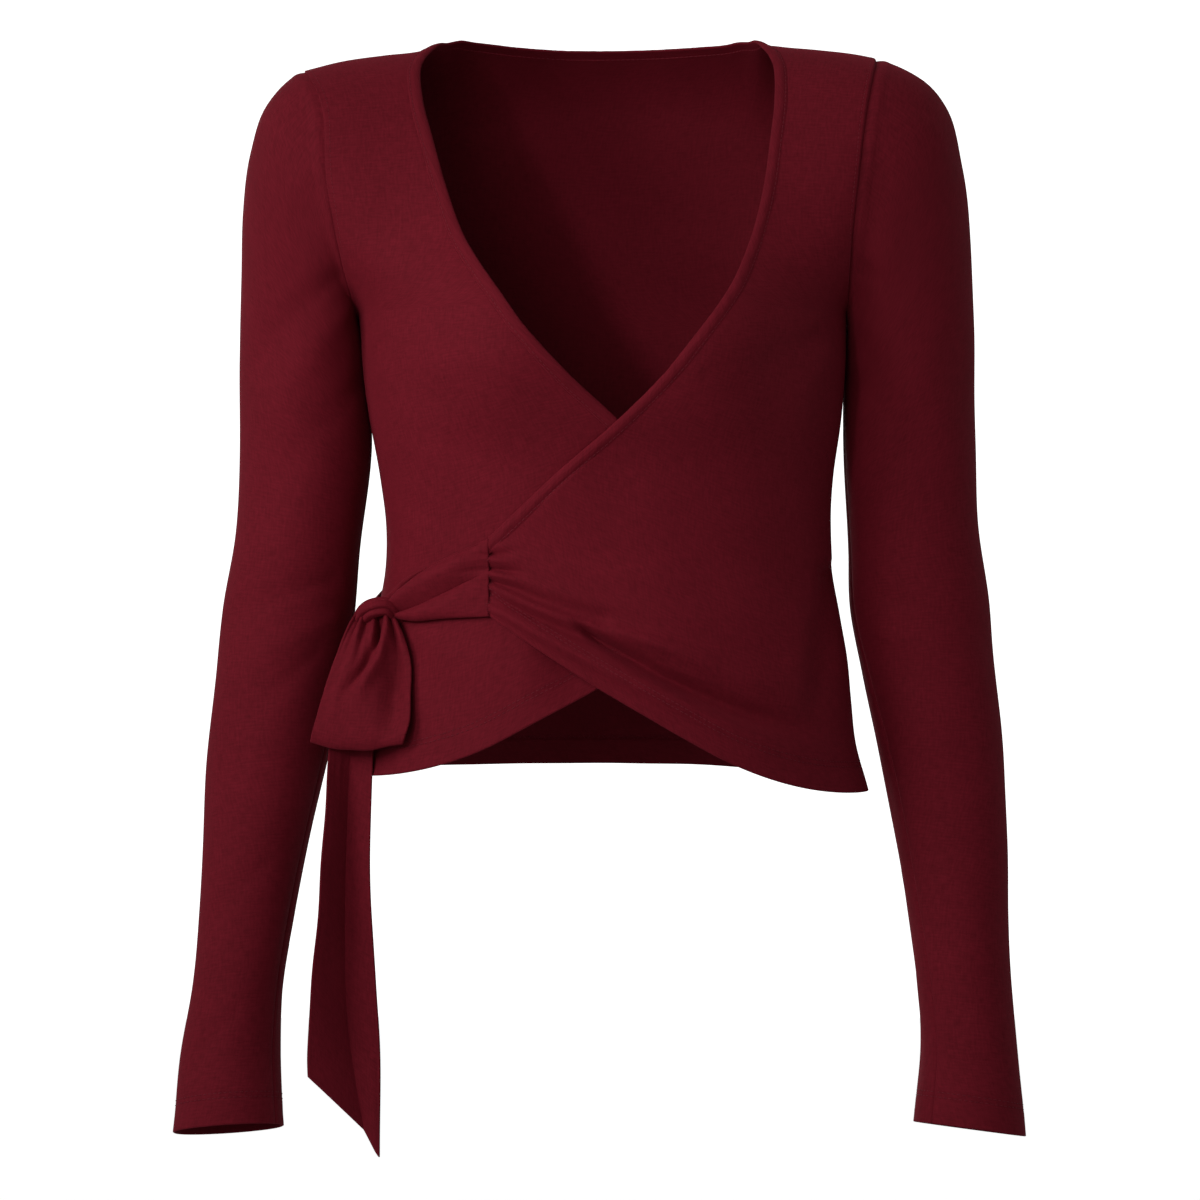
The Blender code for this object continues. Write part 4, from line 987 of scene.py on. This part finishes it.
def bow_loop():
    left = spline([(span.left_x, span.left_y, span.height) for span in BOW_LOOP], LOOP_ROWS)[0]
    right = spline([(span.right_x, span.right_y, span.height) for span in BOW_LOOP], LOOP_ROWS)[0]
    t, v = down_and_across(LOOP_ROWS, LOOP_COLUMNS)
    grid = between(left[:, None], right[:, None], v[..., None])
    outward = grid - grid.mean(axis=(0, 1))
    normals = grid_normals(grid, outward)
    down = (grid[0, :, 2].max() - grid[..., 2]) / LOOP_LENGTH  # 0 under the knot, 1 at the foot
    near = bell(down, 0.30)
    gathers = 1.9 * np.cos(2 * pi * 4.0 * v + 0.6) + 0.9 * np.cos(2 * pi * 7.1 * v + 2.0 + 2.5 * down)
    ridge_at = between(0.83, 0.44, np.clip(down / 0.56, 0, 1))
    ridge = 4.6 * bell(v - ridge_at, between(0.07, 0.13, down)) * ease((0.78 - down) / 0.4)
    valley_at = ridge_at - between(0.12, 0.15, down)
    valley = -5.0 * bell(v - valley_at, 0.075) * ease((0.68 - down) / 0.3) * ease(down / 0.08)
    hollow = -6.6 * bell(v - 0.80, 0.13) * bell(down - 0.58, 0.30)
    belly = 2.6 * np.sin(pi * v) * ease(down / 0.3) * ease((1.15 - down) / 0.5)
    streak = 0.7 * bell(v - 0.16, 0.05) * ease((down - 0.25) / 0.2) * ease((0.95 - down) / 0.2)
    front_lift = near * gathers + ridge + valley + hollow + belly + streak
    back_lift = near * gathers * 0.8 + 1.2 * np.sin(pi * v) + 0.8 * np.cos(2 * pi * 2.3 * v + 3 * down)
    weight = ease((0.56 - t) / 0.1)
    lift = front_lift * weight + back_lift * (1 - weight) * 0.6
    grid = grid + normals * lift[..., None]
    grid[..., 2] -= 3.4 * np.sin(pi * v) * ease((down - 0.45) / 0.5)
    piece = shell("bow_loop_cloth", grid, outward, TIE_WALL)
    sew(piece, "bow_loop")


bow_loop()

# ------------------------------------------------------------------------------------------------ tail
# The loose end of the tie that goes round the back. It hangs from the knot behind the loop, creased
# into a V along its length, and is cut on a slant.

TAIL = table("height left_x left_y spine_x spine_y right_x right_y", [
    (-334, -139, -46, -131, -47.5, -124, -48.5), (-350, -144, -42, -134.5, -46.5, -125.5, -51.5),
    (-375, -149.5, -43, -139.5, -44.5, -128.5, -52.5), (-402, -152.5, -48, -141.5, -42.5, -129.8, -52.5),
    (-440, -155, -56, -144, -41.5, -131, -51), (-490, -158.3, -61, -145.3, -41, -130.5, -50.5),
    (-540, -162.2, -61, -145.2, -40.5, -127.6, -48.5), (-578, -164.8, -58, -142, -42, -125.9, -47.5),
])
TAIL_CUT = table("line x y height", [
    ("left", -164.6, -57.5, -590.5), ("spine", -134.5, -42.5, -622), ("right", -125.9, -47, -637.5),
])
TAIL_ROWS, TAIL_COLUMNS = 190, 60
SOFT_SPINE = 0.012  # how softly the tail bends at its crease


def bow_tail():
    lines = []
    for end in TAIL_CUT:
        x, y = ([getattr(leaf, end.line + axis) for leaf in TAIL] for axis in ("_x", "_y"))
        points = list(zip(x, y, [leaf.height for leaf in TAIL]))
        lines.append(spline(points + [(end.x, end.y, end.height)], TAIL_ROWS)[0])
    left, spine, right = (line[:, None] for line in lines)
    t, v = down_and_across(TAIL_ROWS, TAIL_COLUMNS, start=-1)
    soft = np.sqrt(v**2 + SOFT_SPINE) - np.sqrt(SOFT_SPINE)
    soft = (soft / soft.max())[..., None]
    grid = np.where(v[..., None] < 0, between(spine, left, soft), between(spine, right, soft))
    outward = np.broadcast_to([0.0, -1.0, 0.0], grid.shape)
    normals = grid_normals(grid, outward)
    streaks = 0.5 * bell(v + 0.55, 0.12) * ease((0.5 - t) / 0.3)
    roll = -1.0 * bell(v - 1.0, 0.16) - 0.6 * bell(v + 1.0, 0.14)
    waves = 0.5 * np.sin(2 * pi * (1.7 * t + 0.3 * v)) * v + 0.4 * uneven(v * 12, t * 300, 60, 41)
    grid = grid + normals * (streaks + roll + waves)[..., None]
    piece = shell("bow_tail_cloth", grid, outward, TIE_WALL)
    sew(piece, "bow_tail")


bow_tail()

# ------------------------------------------------------------------------------------ floor and camera
# A pale sweep of paper surrounds the top, which hangs in the middle of a small studio. Two soft lamps
# light it from the front left and one from behind, with a narrow accent on the front and even dim light.

LOW, HIGH = CAD_BOX
MIDDLE = (LOW + HIGH) / 2
CAMERA_DISTANCE, CAMERA_HEIGHT, FIELD = 2.3, -0.321, 0.696  # the field is the width seen in the middle


def sweep():
    """One round sheet: a floor bent up into a wall all round. The top takes no light from it."""
    floor, wall, bend, turns = -0.95, 4.6, 0.9, 96
    profile = [(wall - bend, floor)]
    for angle in np.linspace(0, pi / 2, 24)[1:]:
        profile.append((wall - bend + bend * np.sin(angle), floor + bend - bend * np.cos(angle)))
    profile.append((wall, 5.0))
    around = 2 * pi * np.arange(turns) / turns
    points = [(away * np.sin(a), -away * np.cos(a), z) for away, z in profile for a in around]
    mesh = bpy.data.meshes.new("sweep")
    mesh.from_pydata(points, [], [range(turns)] + tube_faces(len(profile), turns).tolist())
    mesh.shade_smooth()
    mesh.materials.append(material("paper", {
        "Base Color": (0.92, 0.92, 0.92, 1.0), "Roughness": 0.9, "Specular IOR Level": 0.0,
        "Emission Color": (1.0, 1.0, 1.0, 1.0), "Emission Strength": 1.0,
    }))
    piece = add_object("sweep", mesh)
    piece.visible_diffuse = piece.visible_glossy = piece.visible_shadow = False
    piece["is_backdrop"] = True


def lamp(name, kind, aim, offset, **settings):
    """A lamp at an offset from a place, turned towards it."""
    holder = add_object(name, with_settings(bpy.data.lights.new(name, kind), **settings))
    holder.location, holder.rotation_euler = aim + offset, offset.to_track_quat("Z", "Y").to_euler()
    return holder


def soft_lamp(name, azimuth, height, watts):
    """A soft square lamp, turned towards the top from an angle round it and an angle above it."""
    around, above, away = radians(azimuth), radians(height), 3.2
    flat = away * np.cos(above)
    offset = Vector((flat * np.sin(around), -flat * np.cos(around), away * np.sin(above)))
    lamp(name, "AREA", MIDDLE, offset, energy=watts, size=1.3).visible_camera = False


sweep()
soft_lamp("key", -60, 25, 38)
soft_lamp("middle", -20, 14, 20)
soft_lamp("back", 192, 14, 16)
narrow = {"spot_size": radians(8.5), "spot_blend": 1.0, "shadow_soft_size": 0.2}
lamp("accent", "SPOT", Vector((-0.12, -0.10, -0.21)), Vector((-1.3, -2.5, 0.7)), energy=150, **narrow)

studio = bpy.context.scene
studio.world = bpy.data.worlds.new("studio")
studio.world.use_nodes = True
background = studio.world.node_tree.nodes["Background"]
background.inputs["Color"].default_value = (1.0, 1.0, 1.0, 1.0)
background.inputs["Strength"].default_value = 0.25
studio.view_settings.view_transform = "Standard"

SENSOR = 36.0
lens = with_settings(
    bpy.data.cameras.new("camera"), sensor_width=SENSOR, lens=SENSOR * CAMERA_DISTANCE / FIELD
)
camera = add_object("camera", lens)
camera.location, camera.rotation_euler = (0.0, -CAMERA_DISTANCE, CAMERA_HEIGHT), (radians(90), 0, 0)
studio.camera = camera

LOW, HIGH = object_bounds()
